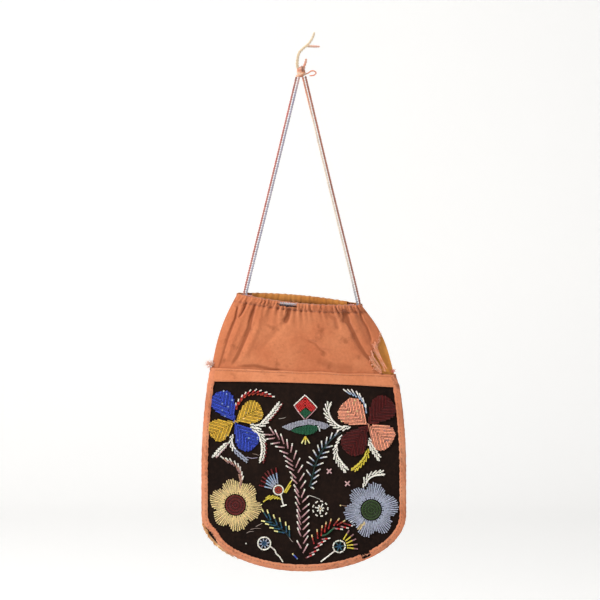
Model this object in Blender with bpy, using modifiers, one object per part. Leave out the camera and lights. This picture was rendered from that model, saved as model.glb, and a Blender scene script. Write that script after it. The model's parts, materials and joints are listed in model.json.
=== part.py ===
# Beaded drawstring pouch, hanging by its tied wool cord.
# The front faces -Y, +Z is up and the origin is the point that the cord hangs from.
# All sizes below are millimetres, and MM turns them into metres when a mesh is made.

import math
import bmesh
import bpy
from mathutils import Vector

MM = 0.001
GAP = 0.3             # air left between pieces that touch
LAYER_GAP = 0.4       # air between two layers of cloth

# Pouch body
POUCH_AXIS = 1.0      # the pouch hangs this far right of the hook
PANEL_TOP = -289.8    # height of the velvet's visible top edge
PANEL_WIDTH = 181.5   # widest part of the cloth
PANEL_TOP_WIDTH = 170.0
PANEL_TAPER = 78.0    # the sides spread from the top width over this length
PANEL_STRAIGHT = 117.0
PANEL_CURVE = 50.0    # depth of the rounded bottom
YOKE_HEIGHT = 77.0
MOUTH_WIDTH = 110.0
MOUTH_SHIFT = -4.0    # the mouth hangs left of the pouch's axis
YOKE_BULGE = 1.5
SEAM_DROP = 2.7       # half the difference in height of the seam's two ends
MOUTH_DROP = 5.2
LEVEL_DEPTH = 60.0    # the slant dies out this far below the seam
FRONT_SAG = 4.3
BACK_RISE = 3.4

# Inside room, as half distances from the middle plane
SEAM_ROOM = 0.15
PANEL_FULLNESS = 4.5
MOUTH_FULLNESS = 5.5
MOUTH_END_ROOM = 3.0
PANEL_ROUNDING = 2.5
MOUTH_ROUNDING = 4.0

# Cloths
VELVET = 1.2
COTTON = 0.8
LINING = 0.6
SEAM_ALLOWANCE = 5.5
BAND_HEIGHT = 11.7
LINING_STOP = 17.0    # the lining ends this far below the mouth
GATHERS = 8
GATHER_DEPTH = 1.4
PINCH_REACH = 3.0     # the stitch line holds the gathers in over this height
PINCH = 0.6
CASING_HEIGHT = 7.5
CHANNEL = 3.0
HEM_END = 0.76        # share of the mouth's half width where the casing opens
TEAR_WIDTH = 10.0
TEAR_TOP = 53.0
TEAR_BOTTOM = 12.5

# Edge binding
BINDING = 0.8
BINDING_LIP = 4.5     # width of the tape's lips along the bottom
BINDING_SIDE_LIP = 2.8
BINDING_CLEAR = 0.6
BINDING_RISE = 12.0   # the binding starts this far above the velvet
TORN_FROM = 0.590     # the tape's front is torn between these shares of its length
TORN_TO = 0.615

# Wool cord
YARN = 2.2
TAIL = 3.4
CORD_POINT_COUNT = 75
STRAND_OFFSET = 1.25  # half the distance between the two yarns of a leg
KNOT_WIDTH = 9.0
KNOT_HEIGHT = 8.0
KNOT_CENTRE = (-1.5, 0.0, -8.5)

# Beadwork. The pattern was laid out on a field of this size, narrower at its top.
PATTERN_WIDTH = 175.9
PATTERN_NARROWING = 0.0654
PATTERN_HEIGHT = 162.5
BEAD = 1.5
PAD = 0.9             # thickness of a filled motif between its rows
RIDGE = 0.5           # how far the rows stand out of it
ROSETTE_EYE = 9.2
ROSETTE_NOTCH = 17.6
THISTLE_RADIUS = 4.3
BUD_RADIUS = 5.7
ROUNDEL_RADIUS = 7.3
CROSS_ARM = 2.6

COLOURS = {
    "velvet": (0.012, 0.007, 0.005), "salmon": (0.72, 0.27, 0.12), "ochre": (0.60, 0.24, 0.05),
    "lining": (0.55, 0.25, 0.08), "blue": (0.05, 0.08, 0.42), "gold": (0.58, 0.38, 0.06),
    "peach": (0.74, 0.33, 0.18), "maroon": (0.11, 0.012, 0.012), "cream": (0.78, 0.62, 0.32),
    "grey_blue": (0.31, 0.34, 0.47), "dark_green": (0.03, 0.055, 0.018), "emerald": (0.02, 0.11, 0.05),
    "red": (0.42, 0.02, 0.02), "white": (0.80, 0.78, 0.70), "pink": (0.50, 0.20, 0.22),
    "teal": (0.02, 0.09, 0.13), "yellow": (0.70, 0.55, 0.06), "lilac": (0.45, 0.42, 0.50),
    "wool_grey": (0.42, 0.36, 0.40), "wool_red": (0.55, 0.20, 0.14), "wool": (0.66, 0.36, 0.22),
}
SHINE = {"velvet": 0.95, "salmon": 0.85, "ochre": 0.85, "lining": 0.85}


# Scene and materials
def clear_scene():
    for thing in list(bpy.data.objects):
        bpy.data.objects.remove(thing, do_unlink=True)


def material_for(node, colour):
    material = bpy.data.materials.new(node + "_material")
    material.use_nodes = True
    shader = material.node_tree.nodes["Principled BSDF"]
    shader.inputs["Base Color"].default_value = (*COLOURS[colour], 1.0)
    wool = colour.startswith("wool")
    shader.inputs["Roughness"].default_value = 0.9 if wool else SHINE.get(colour, 0.25)
    shader.inputs["Metallic"].default_value = 0.0
    return material


def add_object(name, data, colour):
    thing = bpy.data.objects.new(name, data)
    PARTS.objects.link(thing)
    data.materials.append(material_for(name, colour))
    return thing


# Shape of the pouch. s runs from -1 to 1 across it, and v is the depth under the velvet's top.
def rise_share(v):
    return min(1.0, max(0.0, -v / YOKE_HEIGHT))


def half_width(v):
    if v >= 0.0:
        taper = max(0.0, 1.0 - v / PANEL_TAPER)
        return (PANEL_WIDTH - (PANEL_WIDTH - PANEL_TOP_WIDTH) * taper ** 2) / 2
    share = rise_share(v)
    straight = PANEL_TOP_WIDTH + (MOUTH_WIDTH - PANEL_TOP_WIDTH) * share
    return straight / 2 + YOKE_BULGE * math.sin(math.pi * share)


def centre(v):
    share = rise_share(v)
    return POUCH_AXIS + MOUTH_SHIFT * (1.0 - (1.0 - share) ** 2)


def drop(v):
    if v >= 0.0:
        return SEAM_DROP * max(0.0, 1.0 - v / LEVEL_DEPTH)
    return SEAM_DROP + (MOUTH_DROP - SEAM_DROP) * rise_share(v)


def plan(s, v, lift=0.0):
    """Place across and height of a point of the cloth; lift is how far the mouth's middle rises."""
    arch = lift * (1.0 - s * s) * rise_share(v) ** 2
    return centre(v) + s * half_width(v), PANEL_TOP - v - s * drop(v) + arch


def locate(x, z):
    """The s and v of a point of the panel, the reverse of plan."""
    v = PANEL_TOP - z
    for _ in range(3):
        s = (x - centre(v)) / half_width(v)
        v = PANEL_TOP - z - s * drop(v)
    return s, v


def edge_share(s, v):
    """0 along the middle of the pouch and 1 on its seam."""
    below = max(0.0, v - PANEL_STRAIGHT) / PANEL_CURVE
    return min(1.0, math.hypot(s, below))


def room(s, v):
    """Half the inside thickness of the pouch."""
    share = rise_share(v)
    fullness = PANEL_FULLNESS + (MOUTH_FULLNESS - PANEL_FULLNESS) * share
    rounding = PANEL_ROUNDING + (MOUTH_ROUNDING - PANEL_ROUNDING) * share
    opening = max(0.0, (share - 0.7) / 0.3)
    return SEAM_ROOM + MOUTH_END_ROOM * opening ** 2 + fullness * (1.0 - edge_share(s, v) ** rounding)


def velvet_face(s, v):
    return room(s, v) + LINING + LAYER_GAP + VELVET


def yoke_face(s, v):
    return room(s, v) + LINING + LAYER_GAP + COTTON


def back_face(s, v):
    return room(s, v) + COTTON


def gathers(s, v, shift):
    """How far the gathered cloth stands out, pinched along the casing's stitch line."""
    share = rise_share(v + BAND_HEIGHT)
    pinch = PINCH * math.exp(-((v + YOKE_HEIGHT - CASING_HEIGHT) / PINCH_REACH) ** 2)
    wave = 0.5 - 0.5 * math.cos(math.pi * GATHERS * (s + 1.0) + shift)
    return GATHER_DEPTH * share ** 1.5 * (1.0 - pinch) * wave


def bottom_of(s):
    return PANEL_STRAIGHT + PANEL_CURVE * math.sqrt(max(0.0, 1.0 - s * s))


# Makers of shapes
def grid_surface(name, colour, columns, rows, point, wall, dropped=None, weld=False):
    """A grid whose corners are placed by point(u, w), thickened inward by Solidify."""
    bm = bmesh.new()
    bmesh.ops.create_grid(bm, x_segments=columns, y_segments=rows, size=0.5)
    if dropped:
        gone = []
        for face in bm.faces:
            middle = face.calc_center_median()
            if dropped(middle.x + 0.5, middle.y + 0.5):
                gone.append(face)
        bmesh.ops.delete(bm, geom=gone, context="FACES")
    for vertex in bm.verts:
        vertex.co = point(vertex.co.x + 0.5, vertex.co.y + 0.5)
    if weld:
        bmesh.ops.remove_doubles(bm, verts=bm.verts, dist=0.00001)
    mesh = bpy.data.meshes.new(name)
    bm.to_mesh(mesh)
    bm.free()
    mesh.shade_smooth()
    thing = add_object(name, mesh, colour)
    solidify = thing.modifiers.new("Wall", "SOLIDIFY")
    solidify.thickness = wall * MM
    solidify.offset = -1.0
    return thing


def smooth_route(points, count):
    """count points, evenly spaced, on a smooth curve through the given points."""
    knots = [Vector(p) for p in points]
    ends = [2 * knots[0] - knots[1]] + knots + [2 * knots[-1] - knots[-2]]
    fine = []
    for i in range(1, len(ends) - 2):
        a, b, c, d = ends[i - 1:i + 3]
        for step in range(16):
            t = step / 16
            fine.append(0.5 * (2 * b + (c - a) * t + (2 * a - 5 * b + 4 * c - d) * t ** 2
                               + (3 * b - a - 3 * c + d) * t ** 3))
    fine.append(knots[-1])
    lengths = [0.0]
    for a, b in zip(fine, fine[1:]):
        lengths.append(lengths[-1] + (b - a).length)
    route = []
    j = 0
    for i in range(count):
        target = lengths[-1] * i / (count - 1)
        while j < len(fine) - 2 and lengths[j + 1] < target:
            j += 1
        part = (target - lengths[j]) / (lengths[j + 1] - lengths[j])
        route.append(fine[j].lerp(fine[j + 1], min(1.0, part)))
    return route


def tube(name, colour, route, diameter):
    curve = bpy.data.curves.new(name, "CURVE")
    curve.dimensions = "3D"
    curve.bevel_depth = diameter / 2 * MM
    curve.bevel_resolution = 2
    curve.use_fill_caps = True
    spline = curve.splines.new("POLY")
    spline.points.add(len(route) - 1)
    for point, place in zip(spline.points, route):
        point.co = (*(place * MM), 1.0)
    return add_object(name, curve, colour)


# Cloths
def sheet_point(face, top):
    """Places a grid over the whole front, from the rounded bottom up to a height."""
    def point(u, w):
        s = math.sin(math.pi * (u - 0.5))
        v = bottom_of(s) + (top - bottom_of(s)) * w
        x, z = plan(s, v)
        return Vector((x, -face(s, v), z)) * MM
    return point


def make_velvet_and_lining():
    grid_surface("velvet_panel", "velvet", 12, 9, sheet_point(velvet_face, -SEAM_ALLOWANCE), VELVET)

    def lining_face(s, v):
        return room(s, v) + LINING
    lining_point = sheet_point(lining_face, LINING_STOP - YOKE_HEIGHT)
    grid_surface("front_lining", "lining", 10, 8, lining_point, LINING)


def casing_rows(start, body_rows):
    """Rows of a gathered wall: its body, the front of its casing, the fold and the hem."""
    radius = COTTON + CHANNEL / 2
    stitch = CASING_HEIGHT - YOKE_HEIGHT
    fold = radius - YOKE_HEIGHT
    rows = [(start + (stitch - start) * i / body_rows, "wall", 0.0) for i in range(body_rows + 1)]
    rows.append(((stitch + fold) / 2, "wall", 0.0))
    rows += [(fold - radius * math.sin(math.radians(a)), "fold", a) for a in (0, 60, 120, 180)]
    rows.append(((stitch + fold) / 2, "hem", 0.0))
    rows.append((stitch, "closed", 0.0))
    return rows


def gathered_point(rows, face, side, lift, shift, inset=None):
    """Places a grid on a gathered wall that ends in a casing for the cord."""
    deep = 2 * COTTON + CHANNEL

    def point(u, w):
        v, kind, angle = rows[round(w * (len(rows) - 1))]
        s = -side * (2.0 * u - 1.0)
        x, z = plan(s, v, lift)
        if inset and s > 0.0:
            x -= inset(v) * s ** 4
            s -= inset(v) * s ** 4 / half_width(v)
        plain = face(s, v)
        front = plain + gathers(s, v, shift)
        hem = plain - deep
        depth = front
        if kind == "fold":
            depth = (front + hem) / 2 + (front - hem) / 2 * math.cos(math.radians(angle))
        elif kind == "hem":
            depth = hem
        elif kind == "closed":
            depth = plain - 2 * COTTON - LAYER_GAP
        return Vector((x, side * depth, z)) * MM
    return point


def open_ends(rows):
    """The casing is cut away near the side seams, where the cord comes out."""
    first_fold = [kind for _, kind, _ in rows].index("fold")

    def dropped(u, w):
        return abs(2.0 * u - 1.0) > HEM_END and w * (len(rows) - 1) > first_fold
    return dropped


def tear(v):
    """How far the yoke's right edge has come away from its seam."""
    share = (-v - TEAR_BOTTOM) / (TEAR_TOP - TEAR_BOTTOM)
    if share <= 0.0 or share >= 1.0:
        return 0.0
    return TEAR_WIDTH * math.sin(math.pi * share) ** 2


def make_front_yoke():
    rows = casing_rows(-SEAM_ALLOWANCE - 2 * GAP, 5)
    grid_surface("front_yoke", "salmon", 4 * GATHERS, len(rows) - 1,
                 gathered_point(rows, yoke_face, -1, -FRONT_SAG, 0.0, tear), COTTON, open_ends(rows))


def make_back_panel():
    """One cloth from the rounded bottom to the back casing."""
    upper = casing_rows(-BINDING_RISE, 3)
    depths = (0.0, 0.33, 0.66)
    total = len(depths) + len(upper)
    wall = gathered_point(upper, back_face, 1, BACK_RISE, math.pi / 2)

    def point(u, w):
        row = round(w * (total - 1))
        if row >= len(depths):
            return wall(u, (row - len(depths)) / (len(upper) - 1))
        s = -(2.0 * u - 1.0)
        v = bottom_of(s) + (-BINDING_RISE - bottom_of(s)) * depths[row]
        x, z = plan(s, v)
        return Vector((x, back_face(s, v), z)) * MM

    def dropped(u, w):
        row = w * (total - 1) - len(depths)
        return open_ends(upper)(u, row / (len(upper) - 1))
    grid_surface("back_panel", "ochre", 3 * GATHERS, total - 1, point, COTTON, dropped)


def make_seam_band():
    """The strip that covers the join of yoke and velvet, between the binding's lips."""
    def point(u, w):
        v = GAP - (BAND_HEIGHT + GAP) * w
        reach = 1.0 - (BINDING_SIDE_LIP + 2 * GAP) / half_width(v)
        s = reach * (2.0 * u - 1.0)
        x, z = plan(s, v)
        return Vector((x, -(velvet_face(s, v) + GAP + COTTON), z)) * MM
    grid_surface("seam_band", "salmon", 14, 2, point, COTTON)


def edge_stations():
    """s and v of places along the pouch's edge, down its left side and up its right."""
    side = [-BINDING_RISE] + [PANEL_STRAIGHT * i / 7 for i in range(8)]
    angles = [math.pi * i / 18 for i in range(1, 18)]
    bottom = [(-math.cos(a), PANEL_STRAIGHT + PANEL_CURVE * math.sin(a)) for a in angles]
    return [(-1.0, v) for v in side] + bottom + [(1.0, v) for v in reversed(side)]


def make_edge_binding():
    """A tape folded round the edges of all the cloths, open on the inside."""
    out = BINDING + BINDING_CLEAR
    half = [(-1.0, 0.0), (0.0, 0.0), (0.8 * out, 0.75)]
    profile = [(n, cut, 1) for n, cut in half] + [(out, 0.0, 0)] + [(n, cut, -1) for n, cut in reversed(half)]
    stations = edge_stations()
    columns = len(stations) - 1

    def point(u, w):
        n, cut, side = profile[round(w * (len(profile) - 1))]
        here = round(u * columns)
        s, v = stations[here]
        x0, z0 = plan(*stations[max(0, here - 1)])
        x1, z1 = plan(*stations[min(columns, here + 1)])
        along = Vector((x1 - x0, z1 - z0)).normalized()
        outward = Vector((along.y, -along.x))
        if n < 0.0:
            n *= BINDING_SIDE_LIP + (BINDING_LIP - BINDING_SIDE_LIP) * max(0.0, -outward.y)
        x, z = plan(s, v)
        x += outward.x * n
        z += outward.y * n
        near = locate(x, z) if n < 0.0 else (s, v)
        front = -(velvet_face(*near) + GAP + BINDING)
        back = back_face(*near) + GAP + BINDING
        if side == 0:
            return Vector((x, (front + back) / 2, z)) * MM
        y = back - cut if side > 0 else front + cut
        return Vector((x, y, z)) * MM

    def dropped(u, w):
        return TORN_FROM < u < TORN_TO and w > 0.8
    grid_surface("edge_binding", "salmon", columns, len(profile) - 1, point, BINDING, dropped)


# Cords
def channel_place(s, face, side, lift):
    """Middle of a casing's channel."""
    radius = COTTON + CHANNEL / 2
    v = radius + YARN / 2 - YOKE_HEIGHT
    x, z = plan(s, v, lift)
    return Vector((x, side * (face(s, v) - radius), z))


def behind_wall(x, z, face, side):
    """A yarn's place against the inside of a gathered wall, near the mouth's ends."""
    s, v = locate(x + math.copysign(YARN, x), z)
    return x, side * (face(s, v) - COTTON - YARN / 2 - 2 * GAP), z


def make_drawstring(name, colour, face, side, lift, strand):
    """A yarn from the knot down one leg, through a casing and up the other leg."""
    knot_left = (-4.1 - strand, side * 0.4, -12.6 + 0.2 * strand)
    knot_right = (1.2 + strand, side * 0.4, -12.6 + 0.2 * strand)
    left_leg = [knot_left, (-27.5 - strand, side * 1.2, -109.0), (-51.0 - strand, side * 2.4, -205.0)]
    right_leg = [(49.6 + strand, side * 1.6, -214.0), (25.6 + strand, side * 1.2, -115.0), knot_right]
    reach = HEM_END - 0.02
    inside = [channel_place(-reach + 2 * reach * i / 8, face, side, lift) for i in range(9)]
    left_turn = [behind_wall(-50.0 - 0.7 * strand, inside[0].z + 2.6, face, side)]
    right_turn = [behind_wall(44.5, inside[-1].z - 0.8, face, side),
                  behind_wall(48.6, inside[-1].z + 0.8, face, side)]
    route = left_leg + left_turn + [tuple(p) for p in inside] + right_turn + right_leg
    tube(name, colour, smooth_route(route, CORD_POINT_COUNT), YARN)


def make_cords():
    make_drawstring("drawstring_front", "wool_grey", yoke_face, -1, -FRONT_SAG, -STRAND_OFFSET)
    make_drawstring("drawstring_back", "wool_red", back_face, 1, BACK_RISE, STRAND_OFFSET)

    bm = bmesh.new()
    bmesh.ops.create_uvsphere(bm, u_segments=12, v_segments=8, radius=0.5)
    for vertex in bm.verts:
        twist = 1.0 + 0.06 * math.cos(3 * math.atan2(vertex.co.y, vertex.co.x) + 9 * vertex.co.z)
        size = Vector((KNOT_WIDTH * twist, KNOT_WIDTH * 0.8 * twist, KNOT_HEIGHT))
        vertex.co = (Vector(KNOT_CENTRE) + Vector([a * b for a, b in zip(vertex.co, size)])) * MM
    mesh = bpy.data.meshes.new("hanging_knot")
    bm.to_mesh(mesh)
    bm.free()
    mesh.shade_smooth()
    add_object("hanging_knot", mesh, "wool")

    tail_long = [(-4.8, 0.0, -4.2), (-4.7, 0.0, 1.5), (-3.3, 0.0, 8.0), (0.2, 0.0, 12.0), (5.4, 0.0, 16.5),
                 (9.0, 0.0, 22.0), (10.6, 0.0, 27.0)]
    tail_stub = [(0.7, -0.2, -4.1), (2.4, -0.6, -0.6), (3.2, -0.8, 3.0)]
    tail_curl = [(3.4, -0.5, -11.1), (6.8, -0.8, -10.4), (9.8, -1.0, -8.6), (12.2, -0.8, -10.0)]
    tube("tail_long", "wool", smooth_route(tail_long, 14), TAIL)
    tube("tail_stub", "wool", smooth_route(tail_stub, 5), 0.8 * TAIL)
    tube("tail_curl", "wool", smooth_route(tail_curl, 7), 0.8 * TAIL)


# Beadwork on the velvet
SCALE_Z = (PANEL_STRAIGHT + PANEL_CURVE - BINDING_LIP) / PATTERN_HEIGHT


def on_velvet(x, z, height):
    """A pattern point, measured from the panel's top centre, at a height off the velvet."""
    depth = max(0.0, -z * SCALE_Z)
    taper = max(0.0, 1.0 - depth / PANEL_TAPER)
    field = PATTERN_WIDTH * (1.0 - PATTERN_NARROWING * taper ** 2)
    world_x = POUCH_AXIS + x * 2 * (half_width(depth) - BINDING_SIDE_LIP) / field
    world_z = PANEL_TOP + z * SCALE_Z
    s, v = locate(world_x, world_z)
    return Vector((world_x, -(velvet_face(s, v) + GAP + height), world_z)) * MM


def flat_motif(name, colour, *rings):
    """One or more outlines (the later ones are holes), a bead thick, laid on the velvet."""
    curve = bpy.data.curves.new(name, "CURVE")
    curve.dimensions = "2D"
    curve.fill_mode = "BOTH"
    curve.extrude = BEAD / 2 * MM
    for ring in rings:
        spline = curve.splines.new("POLY")
        spline.points.add(len(ring) - 1)
        for point, (x, z) in zip(spline.points, ring):
            point.co = (x * MM, z * MM, 0.0, 1.0)
        spline.use_cyclic_u = True
    pattern = bpy.data.objects.new(name + "_outline", curve)
    PARTS.objects.link(pattern)
    evaluated = pattern.evaluated_get(bpy.context.evaluated_depsgraph_get())
    mesh = bpy.data.meshes.new_from_object(evaluated)
    bpy.data.objects.remove(pattern, do_unlink=True)
    bm = bmesh.new()
    bm.from_mesh(mesh)
    bmesh.ops.remove_doubles(bm, verts=bm.verts, dist=0.000001)
    for vertex in bm.verts:
        place = vertex.co / MM
        vertex.co = on_velvet(place.x, place.y, place.z + BEAD / 2)
    bm.to_mesh(mesh)
    bm.free()
    mesh.materials.clear()
    mesh.name = name
    return add_object(name, mesh, colour)


def flat_route(points, count):
    return smooth_route([(x, z, 0.0) for x, z in points], count)


def side_of(route, i):
    """Unit directions along a flat route and to the right of it."""
    along = (route[min(i + 1, len(route) - 1)] - route[max(i - 1, 0)]).normalized()
    return along, Vector((along.y, -along.x, 0.0))


def branch(name, colour, spine, arms, arm, lean, right_arms=None, left_arms=None, width=1.4):
    """A stem with bead arms leaning towards its tip; a side may keep only some of its arms."""
    steps = 2 * arms + 1
    route = flat_route(spine, steps)
    half = width / 2 / math.sin(math.radians(lean))
    edges = {1: [], -1: []}
    for (hand, edge), kept in zip(edges.items(), (right_arms, left_arms)):
        for i in range(1, steps, 2):
            if kept and i // 2 not in kept:
                continue
            along, right = side_of(route, i)
            out = along * math.cos(math.radians(lean)) + right * hand * math.sin(math.radians(lean))
            root = route[i] + right * hand * width / 2
            low = root - along * half
            high = root + along * half
            edge += [low, low + out * arm, high + out * arm, high]
    foot_along, foot_right = side_of(route, 0)
    tip_along, tip_right = side_of(route, steps - 1)
    ring = [route[0] + foot_right * width / 2] + edges[1]
    ring += [route[-1] + tip_right * width / 2, route[-1] - tip_right * width / 2]
    ring += list(reversed(edges[-1])) + [route[0] - foot_right * width / 2]
    flat_motif(name, colour, [(p.x, p.y) for p in ring])


def spray(name, colour, spine, teeth, width=3.6):
    """A curved band of short slanting rows, seen as a saw edge on both sides."""
    route = flat_route(spine, 2 * teeth + 1)
    right_edge = []
    left_edge = []
    for i in range(len(route)):
        along, right = side_of(route, i)
        taper = 0.35 + 0.65 * math.sin(math.pi * (0.12 + 0.76 * i / (len(route) - 1)))
        reach = width / 2 * taper * (1.0 if i % 2 else 0.5)
        ahead = along * (0.5 if i % 2 else -0.1)
        right_edge.append(route[i] + right * reach + ahead)
        left_edge.append(route[i] - right * reach + ahead)
    ring = right_edge + list(reversed(left_edge))
    flat_motif(name, colour, [(p.x, p.y) for p in ring])


def petal(name, colour, foot, angle, length, width, rows, start=1.6):
    """A drop-shaped petal of slanting bead rows that meet on its midrib."""
    along = Vector((math.cos(math.radians(angle)), math.sin(math.radians(angle))))
    right = Vector((along.y, -along.x))
    widest = (1.15 / 1.65) ** 1.15 * (0.5 / 1.65) ** 0.5

    def point(u, w):
        t = 0.03 + 0.965 * w
        across = 2.0 * u - 1.0
        share = t ** 1.15 * (1.0 - t) ** 0.5 / widest
        reach = t if across else t ** 1.25
        place = Vector(foot) + along * (start + length * reach) + right * across * width / 2 * share
        crest = round(w * 2 * rows) % 2
        return on_velvet(place.x, place.y, PAD + RIDGE * crest + (0.0 if across else 0.1))
    grid_surface(name, colour, 2, 2 * rows, point, PAD)


def round_pad(name, colour, foot, steps, rings, radius, height, inner=0.0):
    """A round pad whose outline and relief are given by functions of its angle."""
    def point(u, w):
        angle = -2.0 * math.pi * u
        step = round(u * steps) % steps
        distance = inner + (radius(-angle) - inner) * w
        x = foot[0] + distance * math.cos(angle)
        z = foot[1] + distance * math.sin(angle)
        return on_velvet(x, z, PAD + height(step, w))
    grid_surface(name, colour, steps, rings, point, PAD, weld=True)


def lobed(tips, reach, notch):
    """Outline radius of a rosette whose lobes point along the given angles, in degrees."""
    order = sorted(a % 360 for a in tips)
    order.append(order[0] + 360)

    def radius(turned):
        angle = math.degrees(-turned) % 360
        if angle < order[0]:
            angle += 360
        for a, b in zip(order, order[1:]):
            if a <= angle <= b:
                share = (angle - a) / (b - a)
                return notch + (reach - notch) * abs(math.cos(math.pi * share)) ** 0.8
        return notch
    return radius


def rosette(name, colour, eye_colour, foot, tips, reach):
    def rows(step, w):
        return RIDGE * (step % 2) + 0.35 * math.sin(math.pi * w)

    def rings(step, w):
        return RIDGE * (round(w * 5) % 2)
    round_pad(name, colour, foot, 48, 2, lobed(tips, reach, ROSETTE_NOTCH), rows, ROSETTE_EYE + GAP)
    round_pad(name + "_eye", eye_colour, foot, 16, 5, lambda angle: ROSETTE_EYE, rings)


def circle(foot, radius, steps, start=0.0, turn=360.0):
    angles = [math.radians(start + turn * i / steps) for i in range(steps + (turn < 360.0))]
    return [(foot[0] + radius * math.cos(a), foot[1] + radius * math.sin(a)) for a in angles]


def ringed_bud(name, colour, core_colour, foot, radius, stem, width=1.4):
    """A round outline of beads with a stem, and a spoked core inside it."""
    first = Vector((stem[0][0] - foot[0], stem[0][1] - foot[1]))
    heading = math.degrees(math.atan2(first.y, first.x))
    half_mouth = math.degrees(math.asin(width / 2 / radius))
    ring = circle(foot, radius, 14, heading + half_mouth, 360.0 - 2 * half_mouth)
    route = flat_route(stem, 2 * len(stem) - 1)
    left = []
    right_edge = []
    for i in range(len(route)):
        _, right = side_of(route, i)
        left.append(route[i] - right * width / 2)
        right_edge.append(route[i] + right * width / 2)
    ring += [(p.x, p.y) for p in right_edge] + [(p.x, p.y) for p in reversed(left)]
    inside = radius - BEAD
    flat_motif(name, colour, ring, circle(foot, inside, 16))

    def spokes(step, w):
        return RIDGE * (step % 2) * w
    round_pad(name + "_core", core_colour, foot, 16, 1, lambda angle: inside - 2 * GAP, spokes)


def fan(name, colour, foot, inner, root, reach, start, end, rays, half_ray=1.5):
    """Rays that spread from a round bud, joined by a short sector at their roots."""
    ring = circle(foot, inner, 6, end, start - end)
    for i in range(rays):
        angle = start + (end - start) * i / (rays - 1)
        for side, radius in ((-2.0, root), (-1.0, reach), (1.0, reach), (2.0, root)):
            turn = math.radians(angle + side * half_ray)
            ring.append((foot[0] + radius * math.cos(turn), foot[1] + radius * math.sin(turn)))
    flat_motif(name, colour, ring)


def make_left_flower():
    foot = (-61.7, -33.8)
    petal("blue_petal_upper", "blue", foot, 121, 30.0, 20.0, 9)
    petal("gold_petal_upper", "gold", foot, 31, 26.5, 20.0, 8)
    petal("gold_petal_lower", "gold", foot, 207, 24.0, 19.5, 8)
    petal("blue_petal_lower", "blue", foot, 306, 30.0, 20.5, 9)
    spray("red_spray", "red", [(-58.8, -19.0), (-55.0, -13.0), (-49.0, -8.8), (-42.5, -8.0), (-35.8, -10.0),
                               (-28.5, -11.6)], 8)
    spray("white_spray_upper", "white", [(-46.6, -36.6), (-41.2, -37.0), (-34.4, -33.0), (-28.6, -26.6),
                                         (-24.7, -20.2), (-21.4, -16.2)], 8)
    spray("white_spray_lower", "white", [(-45.0, -39.4), (-39.4, -42.2), (-36.4, -47.3), (-34.9, -53.4),
                                         (-34.8, -60.0), (-37.0, -68.4)], 8)
    spray("grey_spray", "grey_blue", [(-64.6, -44.5), (-65.2, -50.4), (-63.4, -56.7), (-60.0, -63.0),
                                      (-55.5, -67.2), (-50.2, -70.5)], 8, 2.8)
    spray("white_spray_left", "white", [(-69.0, -52.0), (-71.9, -56.0), (-75.4, -59.6), (-79.0, -64.4)],
          5, 3.0)
    spray("brown_spray", "pink", [(-73.2, -66.4), (-67.3, -69.3), (-62.8, -71.6), (-59.7, -74.7),
                                  (-57.4, -79.2), (-56.3, -89.0)], 7, 3.2)


def make_right_flower():
    foot = (57.5, -36.2)
    petal("peach_petal_upper", "peach", foot, 141.5, 29.0, 24.0, 9)
    petal("maroon_petal_upper", "maroon", foot, 47.5, 29.5, 23.0, 8)
    petal("peach_petal_lower", "peach", foot, 319.5, 26.5, 23.5, 9)
    petal("maroon_petal_lower", "maroon", foot, 233.0, 30.5, 23.0, 8)
    spray("blue_spray", "grey_blue", [(56.6, -21.5), (54.6, -16.5), (50.2, -10.6), (44.6, -6.6),
                                      (37.0, -4.8)], 7, 2.8)
    spray("white_spray_inner", "white", [(41.0, -38.6), (35.0, -38.6), (29.2, -35.1), (25.0, -29.7),
                                         (22.7, -24.3), (23.1, -17.1)], 8)
    spray("white_stroke", "white", [(34.4, -43.6), (31.6, -48.0), (28.4, -53.2)], 3, 3.2)
    spray("white_spray_drop", "white", [(29.0, -56.0), (29.0, -61.2), (32.1, -68.4), (38.0, -77.0)], 6, 3.4)
    spray("yellow_spray", "yellow", [(57.2, -58.0), (56.0, -63.4), (52.1, -69.3), (44.3, -77.0)], 6, 3.0)
    spray("white_spray_side", "white", [(58.8, -50.2), (60.4, -55.0), (63.9, -61.0), (68.6, -67.0)], 5, 3.0)


def make_centre_bud():
    flat_motif("bud_red", "red", [(-8.3, -19.2), (1.3, -9.9), (11.6, -20.7), (8.2, -24.9), (1.2, -20.2),
                                  (-5.2, -23.6)])
    flat_motif("bud_green", "emerald", [(1.2, -20.8), (7.7, -25.2), (1.5, -30.4), (-4.7, -24.1)])
    crescent = [(-18.9, -38.2), (-8.0, -33.2), (4.0, -31.3), (14.0, -33.0), (24.0, -37.2), (22.0, -39.0),
                (12.0, -37.6), (4.0, -36.3), (-6.0, -37.4), (-14.6, -40.4)]
    flat_motif("grey_leaf", "lilac", crescent)
    flat_motif("green_leaf", "emerald", [(-13.4, -40.7), (-6.0, -38.0), (4.0, -36.9), (12.0, -38.2),
                                         (15.4, -40.2), (8.0, -44.6), (2.2, -45.6), (-5.0, -44.6)])
    flat_motif("yellow_sepals", "yellow", [(3.4, -46.2), (0.8, -46.2), (-2.9, -52.4), (-1.5, -53.2),
                                           (1.2, -49.4), (1.1, -54.4), (2.6, -54.4), (2.8, -49.4),
                                           (5.0, -53.2), (6.4, -52.4)])


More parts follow.
